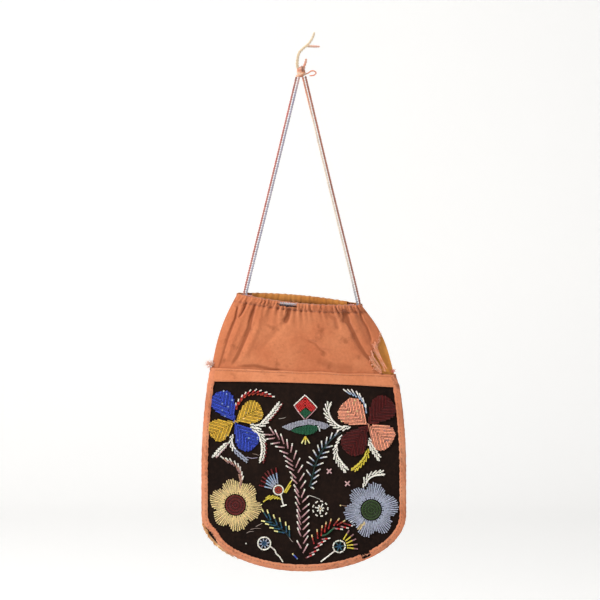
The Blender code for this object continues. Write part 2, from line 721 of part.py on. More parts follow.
def make_stems():
    main_spine = [(-1.1, -151.8), (-2.0, -135.0), (-2.5, -118.8), (-3.0, -102.6), (-5.2, -86.4),
                  (-9.7, -68.4), (-16.0, -55.8), (-26.4, -45.8)]
    right_spine = [(5.9, -91.5), (8.8, -82.0), (10.8, -72.0), (14.2, -62.5), (18.6, -54.5), (24.5, -48.6)]
    lower_left_spine = [(-12.4, -135.0), (-18.6, -130.0), (-24.2, -125.2), (-29.0, -121.0)]
    lower_right_spine = [(1.6, -156.0), (7.6, -146.6), (15.6, -136.0), (24.6, -128.6), (32.4, -126.4)]
    branch("main_stem", "pink", main_spine, 22, 9.2, 36)
    branch("right_branch", "teal", right_spine, 9, 7.2, 43, range(7))
    branch("lower_left_branch", "teal", lower_left_spine, 5, 8.2, 31)
    branch("lower_right_branch", "red", lower_right_spine, 7, 7.8, 38, range(7), range(2, 7))


def make_small_motifs():
    thistle = (-22.8, -94.2)
    thistle_stem = [(-21.7, -98.2), (-19.9, -103.6), (-18.1, -108.4)]
    leaf_left = [(-22.4, -100.6), (-27.0, -100.2), (-33.1, -102.4), (-38.0, -107.2)]
    leaf_right = [(-18.2, -100.0), (-15.6, -95.4), (-12.6, -90.4)]
    ringed_bud("thistle_ring", "white", "red", thistle, THISTLE_RADIUS, thistle_stem)
    fan("thistle_rays", "grey_blue", thistle, THISTLE_RADIUS + GAP, 9.6, 18.4, 97.0, 162.0, 8)
    spray("thistle_leaf_left", "yellow", leaf_left, 5, 3.0)
    spray("thistle_leaf_right", "yellow", leaf_right, 4, 2.6)

    left_stem = [(-30.6, -145.4), (-26.4, -149.4), (-21.7, -153.9), (-19.4, -158.0)]
    ringed_bud("left_bud", "white", "grey_blue", (-35.5, -142.4), BUD_RADIUS, left_stem)
    right_bud = (31.7, -145.2)
    right_stem = [(27.4, -148.9), (21.0, -154.0), (15.9, -157.8)]
    ringed_bud("right_bud", "white", "teal", right_bud, BUD_RADIUS, right_stem)
    fan("right_bud_rays", "yellow", right_bud, BUD_RADIUS + GAP, 9.4, 16.4, -8.0, 59.0, 6)

    def star(step, w):
        return RIDGE * (1.4 - w) if w < 0.6 else RIDGE * (step % 2) * w - 0.2
    round_pad("star_roundel", "white", (14.9, -110.4), 18, 3, lambda angle: ROUNDEL_RADIUS, star)
    half = 0.4 * BEAD
    for name, x, z in (("upper_cross", 22.8, -77.7), ("lower_cross", 39.5, -88.7)):
        ring = []
        for quarter in range(4):
            turn = math.radians(45 + 90 * quarter)
            out = Vector((math.cos(turn), math.sin(turn)))
            side = Vector((-out.y, out.x))
            for place in (out * CROSS_ARM - side * half, out * CROSS_ARM + side * half, (out + side) * half):
                ring.append((x + place.x, z + place.y))
        flat_motif(name, "pink", ring)


def make_rosettes():
    rosette("cream_rosette", "cream", "maroon", (-61.3, -108.0), (101, 48, -13, -87, -134, 162), 23.4)
    rosette("blue_rosette", "grey_blue", "dark_green", (60.4, -112.4), (82, 11, -55, -102, 188, 131), 24.3)
    feather = [(54.6, -91.6), (56.2, -87.2), (59.6, -83.6), (64.2, -81.8), (71.3, -80.6)]
    spray("rosette_spray", "white", feather, 6, 3.0)


clear_scene()
PARTS = bpy.data.collections.new("beaded_pouch")
bpy.context.scene.collection.children.link(PARTS)
make_velvet_and_lining()
make_front_yoke()
make_seam_band()
make_back_panel()
make_edge_binding()
make_cords()
make_left_flower()
make_right_flower()
make_centre_bud()
make_stems()
make_small_motifs()
make_rosettes()
print("pieces", len(PARTS.objects))
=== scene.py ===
# %% [markdown]
# # A beaded drawstring pouch
# The real thing is a flat cloth pouch, about 18 cm wide, that hangs by a wool cord.
# Its front is one piece of dark velvet with flowers sewn on in glass seed beads. Above
# it a yoke of salmon cotton is gathered on the cord, and the back is ochre cotton.
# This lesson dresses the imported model: the cloths get their folds, weave and wear, the
# cords their twisted yarns, and every motif its beads, one by one.

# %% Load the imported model
import json
import math
import random
import bpy
import bmesh
import numpy as np
from mathutils import Matrix, Vector
from mathutils.bvhtree import BVHTree

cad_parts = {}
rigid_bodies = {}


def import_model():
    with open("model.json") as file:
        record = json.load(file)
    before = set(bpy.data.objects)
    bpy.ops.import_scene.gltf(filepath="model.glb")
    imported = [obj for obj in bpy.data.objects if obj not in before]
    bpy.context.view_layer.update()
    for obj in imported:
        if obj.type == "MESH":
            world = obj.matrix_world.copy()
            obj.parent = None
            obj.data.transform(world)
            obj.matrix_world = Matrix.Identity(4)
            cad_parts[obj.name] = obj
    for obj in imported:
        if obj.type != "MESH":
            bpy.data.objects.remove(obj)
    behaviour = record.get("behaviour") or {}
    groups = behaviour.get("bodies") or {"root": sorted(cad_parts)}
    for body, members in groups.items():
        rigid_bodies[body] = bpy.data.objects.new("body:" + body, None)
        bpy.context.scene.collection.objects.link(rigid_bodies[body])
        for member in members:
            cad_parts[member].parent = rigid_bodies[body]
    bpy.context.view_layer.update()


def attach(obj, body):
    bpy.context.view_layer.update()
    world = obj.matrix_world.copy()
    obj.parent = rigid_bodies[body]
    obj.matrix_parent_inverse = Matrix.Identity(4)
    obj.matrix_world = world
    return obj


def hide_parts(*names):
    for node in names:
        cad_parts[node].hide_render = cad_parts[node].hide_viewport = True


for thing in list(bpy.data.objects):
    bpy.data.objects.remove(thing, do_unlink=True)
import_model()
MM = 0.001

# %% [markdown]
# ## Camera
# The pouch is seen straight on. A long lens keeps its sides parallel, and the camera
# stands where 1 mm of pouch fills 1.11 pixels of a square picture.

# %% Camera
VIEW_WIDTH = 0.540                  # metres that the picture spans at the pouch
VIEW_MIDDLE = (-0.0024, -0.2142)    # across and height of the picture's middle, in metres
LENS = 85.0                         # millimetres
SENSOR = 36.0
camera_data = bpy.data.cameras.new("camera")
camera_data.lens = LENS
camera_data.sensor_width = SENSOR
camera = bpy.data.objects.new("camera", camera_data)
camera.location = (VIEW_MIDDLE[0], -VIEW_WIDTH * LENS / SENSOR, VIEW_MIDDLE[1])
camera.rotation_euler = (math.radians(90), 0.0, 0.0)
bpy.context.scene.collection.objects.link(camera)
bpy.context.scene.camera = camera
print("camera distance", round(-camera.location.y, 3))

# %% [markdown]
# ## Helpers for materials
# A material is a small network of nodes. These helpers add a node, wire it and set a
# value on its own socket, so that each recipe below reads as a few short lines.


# %% Helpers for materials
def linear(red, green, blue):
    """A colour as seen on a screen, 0 to 255, in the units that Blender's sockets use."""
    return tuple(((c / 255 + 0.055) / 1.055) ** 2.4 if c > 10 else c / 3295 for c in (red, green, blue)) + (1.0,)


class Recipe:
    """The node tree of a material or of a node group, with short ways to fill it."""

    def __init__(self, tree):
        self.tree = tree

    def wire(self, value, socket):
        """Links an output to a socket, or sets the socket's own value."""
        if isinstance(value, bpy.types.NodeSocket):
            self.tree.links.new(value, socket)
        else:
            socket.default_value = value

    def add(self, kind, inputs=(), **settings):
        """A node with its settings; inputs are values or outputs of other nodes."""
        node = self.tree.nodes.new(kind)
        for name, value in settings.items():
            setattr(node, name, value)
        for key, value in dict(inputs).items():
            self.wire(value, node.inputs[key])
        return node

    def group(self, name, inputs):
        return self.add("ShaderNodeGroup", inputs, node_tree=bpy.data.node_groups[name])

    def math(self, operation, a, b=0.0):
        return self.add("ShaderNodeMath", {0: a, 1: b}, operation=operation).outputs[0]

    def mix(self, factor, a, b):
        return self.add("ShaderNodeMix", {0: factor, 6: a, 7: b}, data_type="RGBA").outputs[2]

    def ramp(self, factor, low, high):
        """0 below low, 1 above high."""
        return self.add("ShaderNodeMapRange", {0: factor, 1: low, 2: high}).outputs[0]

    def noise(self, place, scale, detail=3.0, roughness=0.5):
        inputs = {"Vector": place, "Scale": scale, "Detail": detail, "Roughness": roughness}
        return self.add("ShaderNodeTexNoise", inputs).outputs["Fac"]

    def bump(self, height, distance, strength=1.0, normal=None):
        inputs = {"Height": height, "Distance": distance, "Strength": strength}
        if normal:
            inputs["Normal"] = normal
        return self.add("ShaderNodeBump", inputs).outputs[0]


# %% New node groups and materials
def new_group(name, inputs, outputs):
    """A shader node group; inputs and outputs are lists of (name, kind, default)."""
    tree = bpy.data.node_groups.new(name, "ShaderNodeTree")
    for side, sockets in (("INPUT", inputs), ("OUTPUT", outputs)):
        for label, kind, default in sockets:
            socket = tree.interface.new_socket(name=label, in_out=side, socket_type="NodeSocket" + kind)
            if default is not None:
                socket.default_value = default
    recipe = Recipe(tree)
    return recipe, recipe.add("NodeGroupInput").outputs, recipe.add("NodeGroupOutput").inputs


def new_material(name, **sockets):
    """A material whose constant values sit on the shader's own sockets."""
    material = bpy.data.materials.new(name)
    material.use_nodes = True
    recipe = Recipe(material.node_tree)
    shader = material.node_tree.nodes["Principled BSDF"]
    for socket, value in sockets.items():
        shader.inputs[socket.replace("_", " ")].default_value = value
    return material, recipe, shader


print("helpers ready")

# %% [markdown]
# ## Floor, backdrop and light
# A pale sheet of paper runs under and behind the pouch, bent where the wall starts, as in
# a small photo studio. It is extruded from a plane, and its corner is bevelled round. One
# large lamp stands at the upper left, as the shadows on the real pouch show, and a weak
# one at the right. The grey surroundings fill the shadows.

# %% Floor and backdrop
FLOOR_HEIGHT = -0.62       # metres
BACKDROP = 1.9             # how far behind the pouch the paper rises
WALL_HEIGHT = 3.2
BEND = 0.5                 # size of the rounded corner
PAPER_GLOW = 0.28          # keeps the paper nearly white in the picture, without lighting the pouch


def start_clean():
    """Goes back to object mode with nothing selected."""
    if bpy.context.object and bpy.context.object.mode != "OBJECT":
        bpy.ops.object.mode_set(mode="OBJECT")
    bpy.ops.object.select_all(action="DESELECT")


start_clean()
bpy.ops.mesh.primitive_plane_add(size=2 * BACKDROP, location=(0.0, 0.0, FLOOR_HEIGHT))
paper = bpy.context.object
paper.name = "paper_sweep"
paper.scale = (1.6, 1.0, 1.0)
bpy.ops.object.transform_apply(location=True, rotation=True, scale=True)
sweep = bmesh.new()
sweep.from_mesh(paper.data)
far_edge = [e for e in sweep.edges if all(v.co.y > BACKDROP - 0.01 for v in e.verts)]
risen = bmesh.ops.extrude_edge_only(sweep, edges=far_edge)["geom"]
wall_top = [g for g in risen if isinstance(g, bmesh.types.BMVert)]
bmesh.ops.translate(sweep, vec=(0.0, 0.0, WALL_HEIGHT), verts=wall_top)
bmesh.ops.bevel(sweep, geom=far_edge, offset=BEND, segments=16, profile=0.5, affect="EDGES")
sweep.to_mesh(paper.data)
sweep.free()
paper.data.shade_smooth()
paper_material, recipe, shader = new_material("pale_paper", Roughness=0.9)
shader.inputs["Base Color"].default_value = linear(240, 239, 237)
shader.inputs["Emission Color"].default_value = linear(255, 255, 255)
seen = recipe.add("ShaderNodeLightPath").outputs["Is Camera Ray"]
recipe.wire(recipe.math("MULTIPLY", seen, PAPER_GLOW), shader.inputs["Emission Strength"])
paper.data.materials.append(paper_material)

# %% Lights
ROOM_LIGHT = 0.34          # light of the surroundings
LAMP_AIM = (0.0, 0.0, -0.3)
world = bpy.data.worlds.new("studio")
bpy.context.scene.world = world
world.use_nodes = True
background = world.node_tree.nodes["Background"]
background.inputs["Color"].default_value = (1.0, 1.0, 1.0, 1.0)
background.inputs["Strength"].default_value = ROOM_LIGHT


def softbox(name, place, power, size):
    """A square lamp that faces the middle of the pouch; power in watts, size in metres."""
    data = bpy.data.lights.new(name, "AREA")
    data.energy = power
    data.size = size
    lamp = bpy.data.objects.new(name, data)
    lamp.location = place
    lamp.rotation_euler = (Vector(LAMP_AIM) - Vector(place)).to_track_quat("-Z", "Y").to_euler()
    bpy.context.scene.collection.objects.link(lamp)


softbox("key_light", (-1.35, -1.05, 1.0), 50.0, 0.4)
softbox("fill_light", (1.3, -1.3, -0.1), 7.0, 1.0)
bpy.context.scene.view_settings.view_transform = "Standard"

# %% [markdown]
# ## The shape of the pouch
# All the cloths share one shape. A point on it has a share s, from -1 at the left seam to
# 1 at the right, and a depth v below the top of the velvet. The functions turn these into
# a place in millimetres. They work on whole arrays, so that thousands of points take no time.

# %% The shape of the pouch
GAP = 0.3
LAYER_GAP = 0.4
POUCH_AXIS = 1.0
PANEL_TOP = -289.8
PANEL_WIDTH = 181.5
PANEL_TOP_WIDTH = 170.0
PANEL_TAPER = 78.0
PANEL_STRAIGHT = 117.0
PANEL_CURVE = 50.0
YOKE_HEIGHT = 77.0
MOUTH_WIDTH = 110.0
MOUTH_SHIFT = -4.0
YOKE_BULGE = 1.5
SIDE_SLACK = 4.2               # the cloth hangs out this much further at the yoke's sides,
SLACK_SHIFT = 1.8              # and more at the right than at the left
SEAM_DROP = 2.7
MOUTH_DROP = 5.2
LEVEL_DEPTH = 60.0
FRONT_SAG = 4.3
BACK_RISE = 3.4
VELVET = 1.2                   # thickness of the cloths
COTTON = 0.8
LINING = 0.6
SEAM_ALLOWANCE = 5.5           # the velvet runs up this far behind the band
BAND_HEIGHT = 11.7
LINING_STOP = 17.0             # the lining ends this far below the mouth
CASING_HEIGHT = 7.5
CHANNEL = 3.0                  # room for the cord in the casing
HEM_END = 0.76                 # the casing is open beyond this share of the width
EDGE_ROOM = 0.15               # half the inside thickness at the seams,
BELLY = 4.5                    # how much more it is in the middle,
MOUTH_ROOM = 3.0               # and at the open mouth


def to_share(value):
    """The value, kept between 0 and 1."""
    return np.clip(value, 0.0, 1.0)


def bell(value, middle, width):
    """1 at the middle, and fading to both sides of it."""
    return np.exp(-((value - middle) / width) ** 2)


# %% Places on the pouch
def rise_share(v):
    """How far up the yoke: 0 at the velvet's top, 1 at the mouth."""
    return to_share(-v / YOKE_HEIGHT)


def half_width(v):
    """Half the pouch's width at a depth."""
    taper = to_share(1.0 - v / PANEL_TAPER)
    panel = (PANEL_WIDTH - (PANEL_WIDTH - PANEL_TOP_WIDTH) * taper ** 2) / 2
    share = rise_share(v)
    slack = YOKE_BULGE * np.sin(np.pi * share) + SIDE_SLACK * np.sin(np.pi * share ** 1.4)
    return panel + (MOUTH_WIDTH - PANEL_TOP_WIDTH) * share / 2 + slack


def centre(v):
    """How far right the middle of the pouch lies at a depth."""
    share = rise_share(v)
    return POUCH_AXIS + MOUTH_SHIFT * (1.0 - (1.0 - share) ** 2) + SLACK_SHIFT * np.sin(np.pi * share ** 1.4)


def drop(v):
    """How much lower the right side hangs than the middle, at a depth."""
    return SEAM_DROP * to_share(1.0 - v / LEVEL_DEPTH) + (MOUTH_DROP - SEAM_DROP) * rise_share(v)


def plan(s, v, lift=0.0):
    """Place across and height; lift raises the middle of the mouth."""
    arch = lift * (1.0 - s * s) * rise_share(v) ** 2
    return centre(v) + s * half_width(v), PANEL_TOP - v - s * drop(v) + arch


def locate(x, z):
    """The s and v of a place: plan the other way round."""
    v = PANEL_TOP - z
    for _ in range(3):
        s = (x - centre(v)) / half_width(v)
        v = PANEL_TOP - z - s * drop(v)
    return s, v


# %% Faces of the cloths
def room(s, v):
    """Half the inside thickness of the pouch."""
    share = rise_share(v)
    below = np.maximum(0.0, v - PANEL_STRAIGHT) / PANEL_CURVE
    edge = np.minimum(1.0, np.hypot(s, below))
    opening = to_share((share - 0.7) / 0.3)
    return EDGE_ROOM + MOUTH_ROOM * opening ** 2 + (BELLY + share) * (1.0 - edge ** (2.5 + 1.5 * share))


def velvet_face(s, v):
    """How far the velvet's outer face lies from the middle of the pouch."""
    return room(s, v) + LINING + LAYER_GAP + VELVET


def yoke_face(s, v):
    """The same for the yoke,"""
    return room(s, v) + LINING + LAYER_GAP + COTTON


def back_face(s, v):
    """and for the back."""
    return room(s, v) + COTTON


def bottom_of(s):
    """Depth of the pouch's rounded bottom edge."""
    return PANEL_STRAIGHT + PANEL_CURVE * np.sqrt(to_share(1.0 - s * s))


print("mouth", np.round(plan(np.array([-1.0, 1.0]), np.array([-77.0, -77.0])), 1).tolist())

# %% [markdown]
# ## Cotton, velvet and lining
# Old cotton is never one flat colour. It has a weave of fine threads, patches that the
# light has bleached, brown age spots, and grime that stays in its folds; the darkening in
# the folds and creases is also painted shade. The weave and the wear are two node groups,
# used by every cloth with its own values. The weave follows each cloth's own UV map, which
# is laid out in metres, so the threads bend with the cloth.

# %% Node group: plain weave
recipe, given, results = new_group(
    "plain_weave",
    [("UV", "Vector", None), ("Threads", "Float", 2400.0)],
    [("Height", "Float", None)])
scaled = recipe.add("ShaderNodeVectorMath", {0: given["UV"], "Scale": given["Threads"]}, operation="SCALE")
parts = recipe.add("ShaderNodeSeparateXYZ", {0: scaled.outputs[0]}).outputs
warp = recipe.math("SINE", recipe.math("MULTIPLY", parts[0], math.pi))
weft = recipe.math("SINE", recipe.math("MULTIPLY", parts[1], math.pi))
crossing = recipe.math("MULTIPLY", warp, weft)
recipe.wire(recipe.math("MULTIPLY_ADD", crossing, 0.5), results["Height"])

# %% Node group: age of a cloth
recipe, given, results = new_group(
    "cloth_age",
    [("Place", "Vector", None), ("Base", "Color", None), ("Faded", "Color", None),
     ("Stain", "Color", None), ("Stain Amount", "Float", 0.5), ("Fold", "Float", 0.0)],
    [("Color", "Color", None), ("Soil", "Float", None)])
broad = recipe.ramp(recipe.noise(given["Place"], 38.0, 3.0), 0.32, 0.72)
slub = recipe.ramp(recipe.noise(given["Place"], 420.0, 2.0), 0.30, 0.75)
spots = recipe.ramp(recipe.noise(given["Place"], 95.0, 4.0, 0.6), 0.60, 0.76)
soil = recipe.math("MULTIPLY", spots, given["Stain Amount"])
colour = recipe.mix(broad, given["Base"], given["Faded"])
colour = recipe.mix(recipe.math("MULTIPLY", slub, 0.22), colour, given["Stain"])
colour = recipe.mix(soil, colour, given["Stain"])
# Darkened where the fold attribute is high: wear and grime, and painted shade in the folds of the yoke and back.
colour = recipe.mix(recipe.math("MULTIPLY", given["Fold"], 0.75), colour, given["Stain"])
recipe.wire(colour, results["Color"])
recipe.wire(soil, results["Soil"])
print("groups", [g.name for g in bpy.data.node_groups])


# %% Cotton material
THREADS = 2600.0           # threads in a metre of cloth


def make_cotton(name, base, faded, stain, amount):
    """Plain-weave cotton; its mesh attribute named fold is 1 where wear and grime darken it, and where painted shade
    darkens its creases.
    """
    material, recipe, shader = new_material(name, Roughness=0.88, Sheen_Weight=0.25, Sheen_Roughness=0.5)
    shader.inputs["Specular IOR Level"].default_value = 0.25
    place = recipe.add("ShaderNodeTexCoord").outputs
    weave = recipe.group("plain_weave", {"UV": place["UV"], "Threads": THREADS})
    fold = recipe.add("ShaderNodeAttribute", attribute_name="fold").outputs["Fac"]
    age = recipe.group("cloth_age", {
        "Place": place["Object"], "Base": linear(*base), "Faded": linear(*faded), "Stain": linear(*stain),
        "Stain Amount": amount, "Fold": fold})
    recipe.wire(age.outputs["Color"], shader.inputs["Base Color"])
    crumple = recipe.bump(recipe.noise(place["Object"], 160.0, 3.0, 0.55), 0.0006, 0.6)
    woven = recipe.bump(weave.outputs["Height"], 0.00012, 0.8, crumple)
    recipe.wire(woven, shader.inputs["Normal"])
    return material


SALMON = make_cotton("salmon_cotton", (190, 108, 68), (204, 126, 84), (124, 60, 28), 0.6)
BAND_CLOTH = make_cotton("band_cotton", (202, 122, 80), (214, 136, 94), (136, 68, 34), 0.6)
TAPE = make_cotton("salmon_tape", (206, 122, 84), (216, 144, 106), (112, 60, 34), 0.95)
OCHRE = make_cotton("ochre_cotton", (190, 118, 48), (204, 138, 66), (122, 70, 28), 0.6)
LINING_CLOTH = make_cotton("lining_cotton", (198, 126, 52), (212, 148, 74), (124, 72, 28), 0.6)


# %% Velvet material
def make_velvet():
    """Velvet: nearly black, with brushed and worn patches."""
    material, recipe, shader = new_material("dark_velvet", Roughness=0.95, Sheen_Weight=0.06, Sheen_Roughness=0.35)
    shader.inputs["Specular IOR Level"].default_value = 0.1
    shader.inputs["Sheen Tint"].default_value = linear(150, 110, 90)
    place = recipe.add("ShaderNodeTexCoord").outputs["Object"]
    brushed = recipe.ramp(recipe.noise(place, 30.0, 4.0, 0.6), 0.35, 0.75)
    worn = recipe.ramp(recipe.noise(place, 260.0, 3.0, 0.6), 0.45, 0.8)
    colour = recipe.mix(brushed, linear(20, 12, 9), linear(31, 20, 15))
    colour = recipe.mix(recipe.math("MULTIPLY", worn, 0.5), colour, linear(46, 30, 22))
    recipe.wire(colour, shader.inputs["Base Color"])
    pile = recipe.bump(recipe.noise(place, 2600.0, 1.0), 0.0004, 0.7)
    nap = recipe.bump(recipe.noise(place, 120.0, 2.0), 0.0008, 0.3, pile)
    recipe.wire(nap, shader.inputs["Normal"])
    return material


VELVET_CLOTH = make_velvet()
print("materials", [m.name for m in bpy.data.materials])

# %% [markdown]
# ## Folds and a maker for sheets of cloth
# A sheet starts as Blender's grid, whose points are then laid on the pouch by a function.
# Solidify gives it its thickness. A fold is a line drawn on the cloth with a depth and a
# width: near the line the cloth sinks or rises. The lines follow the creases of the real
# pouch, and are written in millimetres across and down from the point it hangs from.


# %% Folds
def line_distance(x, z, points):
    """Distance of many places from a line of straight pieces, and the share along it."""
    best = np.full(np.shape(x), 1e9)
    along = np.zeros(np.shape(x))
    count = len(points) - 1
    for i, ((x0, z0), (x1, z1)) in enumerate(zip(points, points[1:])):
        dx, dz = x1 - x0, z1 - z0
        share = to_share(((x - x0) * dx + (z - z0) * dz) / (dx * dx + dz * dz))
        distance = np.hypot(x - x0 - share * dx, z - z0 - share * dz)
        along = np.where(distance < best, (i + share) / count, along)
        best = np.minimum(best, distance)
    return best, along


def fold_height(x, z, folds):
    """Sum of the folds at a place; the ends of a fold fade out."""
    height = np.zeros(np.shape(x))
    for depth, width, points in folds:
        distance, along = line_distance(x, z, points)
        fade = to_share(np.minimum(along, 1.0 - along) * 6.0 + 0.25)
        height += depth * fade * np.exp(-(distance / width) ** 2)
    return height


# %% Ripples
def waves(s, seed, count, low, high):
    """Uneven ripples across the cloth, mostly between -1 and 1.

    They are the sum of count sines whose frequencies lie between low and high.
    """
    draw = random.Random(seed)
    total = np.zeros(np.shape(s))
    for _ in range(count):
        total += np.sin(draw.uniform(low, high) * s + draw.uniform(0.0, 6.28))
    return total / count ** 0.5 / 1.4


# %% A sheet of cloth
def finish_piece(piece, slot, *nodes):
    """Rides the piece on the pouch and hides the nodes that it replaces; slot is not used."""
    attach(piece, "root")
    if nodes:
        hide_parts(*nodes)
    return piece


def apply_modifier(piece, kind, **settings):
    """Adds a modifier and makes its result part of the mesh."""
    modifier = piece.modifiers.new(kind.title(), kind)
    for name, value in settings.items():
        setattr(modifier, name, value)
    start_clean()
    piece.select_set(True)
    bpy.context.view_layer.objects.active = piece
    bpy.ops.object.modifier_apply(modifier=modifier.name)


# %% Make a grid and lay it on the pouch
def sheet_of_cloth(name, material, columns, rows, place, wall, cut=None):
    """place(u, w) gives x, y, z, the two UV lengths and the fold mask of wear, grime and painted shade, all arrays, in
    millimetres.
    """
    start_clean()
    bpy.ops.mesh.primitive_grid_add(x_subdivisions=columns, y_subdivisions=rows, size=1.0)
    piece = bpy.context.object
    piece.name = name
    mesh = piece.data
    corners = np.empty(len(mesh.vertices) * 3)
    mesh.vertices.foreach_get("co", corners)
    corners = corners.reshape(-1, 3)
    u = np.round((corners[:, 0] + 0.5) * columns) / columns
    w = np.round((corners[:, 1] + 0.5) * rows) / rows
    x, y, z, across, down, fold = place(u, w)
    mesh.vertices.foreach_set("co", (np.stack([x, y, z], 1) * MM).ravel())
    mask = mesh.attributes.new("fold", "FLOAT", "POINT")
    mask.data.foreach_set("value", to_share(fold) * np.ones(len(u)))
    loops = np.empty(len(mesh.loops), int)
    mesh.loops.foreach_get("vertex_index", loops)
    flat = np.stack([across * MM * np.ones(len(u)), down * MM * np.ones(len(u))], 1)
    mesh.uv_layers.active.data.foreach_set("uv", flat[loops].ravel())
    if cut is not None:
        holes = bmesh.new()
        holes.from_mesh(mesh)
        holes.verts.ensure_lookup_table()
        gone = []
        for face in holes.faces:
            middle = np.mean([(u[v.index], w[v.index]) for v in face.verts], axis=0)
            if cut(*middle):
                gone.append(face)
        bmesh.ops.delete(holes, geom=gone, context="FACES")
        holes.to_mesh(mesh)
        holes.free()
    mesh.update()
    mesh.shade_smooth()
    apply_modifier(piece, "SOLIDIFY", thickness=wall * MM, offset=-1.0)
    mesh.materials.append(material)
    print(name, len(mesh.polygons), "faces")
    return piece


def flat_area(piece):
    """Area of one side of a sheet in square metres."""
    return sum(p.area for p in piece.data.polygons) / 2


# %% [markdown]
# ## Velvet front and its lining
# The velvet is one rounded panel. Its pile hides the weave, so it is nearly black with a
# weak sheen, and the rows of beads pull it into shallow dips. The thin lining hangs behind
# it and the yoke, and is seen through the tear at the upper right.

# %% Velvet front
VELVET_FOLDS = [(-0.3, 7.0, [(-40.0, -420.0), (0.0, -404.0), (50.0, -425.0)]),
                (0.25, 9.0, [(-60.0, -345.0), (0.0, -352.0), (60.0, -345.0)])]


def place_velvet(u, w):
    """Lays the velvet's grid on the front of the pouch."""
    s = np.sin(np.pi * (u - 0.5))
    v = bottom_of(s) + (-SEAM_ALLOWANCE - bottom_of(s)) * w
    x, z = plan(s, v)
    y = -(velvet_face(s, v) + fold_height(x, z, VELVET_FOLDS) * to_share(1.0 - np.abs(s)))
    return x, y, z, x, z, 0.0


velvet = sheet_of_cloth("velvet_front", VELVET_CLOTH, 100, 84, place_velvet, VELVET)
finish_piece(velvet, "velvet", "velvet_panel")


def place_lining(u, w):
    """Lays the lining's grid behind the velvet and the yoke."""
    s = np.sin(np.pi * (u - 0.5))
    v = bottom_of(s) + (LINING_STOP - YOKE_HEIGHT - bottom_of(s)) * w
    x, z = plan(s, v)
    crease = 0.12 * waves(s * 3.0 + v / 60.0, 5, 3, 2.0, 7.0) * to_share(1.0 - np.abs(s) ** 4)
    return x, -(room(s, v) + LINING + crease), z, x, z, 0.0


lining = sheet_of_cloth("lining_front", LINING_CLOTH, 60, 64, place_lining, LINING)
finish_piece(lining, "lining_cotton", "front_lining")

# %% [markdown]
# ## The gathered yoke
# The yoke is cut as wide as the velvet, turned over at its top to make a casing for the
# cord, stitched along the casing, and drawn together on the cord. So it has fine puckers
# along the stitch line and a few long folds that fan out to the seam. At the right its seam
# has given way: the edge has pulled inwards, frayed, and shows the ochre lining.

# %% The yoke's folds
STITCH = CASING_HEIGHT - YOKE_HEIGHT
CASING_RADIUS = COTTON + CHANNEL / 2
FOLD_LINE = CASING_RADIUS - YOKE_HEIGHT
YOKE_FOLDS = [
    (-1.9, 0.95, [(-57.8, -217.9), (-59.9, -230.0), (-66.5, -246.2), (-70.1, -257.7), (-73.7, -269.7),
                  (-76.1, -276.4)]),
    (0.7, 2.2, [(-53.5, -222.0), (-57.0, -236.0), (-63.0, -252.0), (-69.0, -270.0)]),
    (-1.4, 0.95, [(-50.2, -217.9), (-53.8, -225.1), (-56.9, -230.0)]),
    (-2.2, 1.6, [(-41.8, -216.7), (-46.0, -230.0), (-47.8, -239.6), (-53.8, -253.4), (-58.7, -264.3),
                 (-64.1, -272.2)]),
    (0.8, 3.0, [(-36.0, -222.0), (-40.0, -238.0), (-46.0, -252.0), (-54.0, -268.0)]),
    (-2.2, 2.2, [(-11.7, -221.0), (-12.6, -226.5), (-16.0, -235.0)]),
    (-0.6, 3.0, [(-18.3, -237.2), (-31.6, -250.5), (-42.0, -262.0)]),
    (-1.6, 1.7, [(-60.0, -273.6), (-43.0, -273.0), (-35.2, -274.5), (-27.4, -276.3), (-18.0, -277.0)]),
    (-2.1, 1.8, [(39.2, -225.7), (41.0, -234.8), (45.8, -244.4), (50.6, -254.7), (55.4, -262.5), (61.5, -269.7)]),
    (0.8, 3.0, [(44.0, -224.0), (49.0, -238.0), (56.0, -252.0), (63.0, -263.0)]),
    (-2.2, 2.4, [(36.6, -222.0), (37.6, -229.0), (38.6, -235.0)]),
    (-1.9, 0.95, [(50.6, -222.8), (53.6, -232.4), (57.9, -239.6), (60.2, -246.2), (61.5, -251.6)]),
    (-1.0, 1.5, [(3.6, -250.5), (10.8, -253.4), (15.7, -258.8), (21.7, -262.5)]),
    (0.6, 1.6, [(5.0, -247.5), (13.0, -250.5), (18.5, -256.0), (25.0, -259.5)]),
    (-0.8, 5.0, [(10.0, -268.0), (18.1, -270.4), (27.7, -274.0), (39.8, -275.1), (47.0, -277.6)]),
    (-0.9, 2.4, [(21.7, -225.7), (28.9, -231.8), (32.0, -242.0)]),
    (0.5, 6.0, [(-10.0, -246.0), (-4.0, -262.0)]),
]
TEAR_TOP = 55.0            # heights above the velvet between which the yoke's edge is torn
TEAR_BOTTOM = 9.0
TEAR_DEPTH = 19.0
PUFF = 2.2                 # how far the gathered cloth stands out at the casing
PUCKER = 0.9               # height of the small folds beside the stitches,
CASING_PUCKER = 0.8        # of those on the casing,
FOLD_GAIN = 1.35           # and how much of the drawn folds' depth is used
RELIEF_LIMIT = 5.5


# %% The tear in the yoke
def torn_inset(v):
    """How far the yoke's right edge has pulled in, with a ragged edge."""
    share = to_share((-v - TEAR_BOTTOM) / (TEAR_TOP - TEAR_BOTTOM))
    ragged = 0.5 * np.sin(v * 2.3) + 0.35 * np.sin(v * 5.1 + 1.0)
    return (TEAR_DEPTH + ragged) * np.sin(np.pi * share ** 0.55) ** 1.6


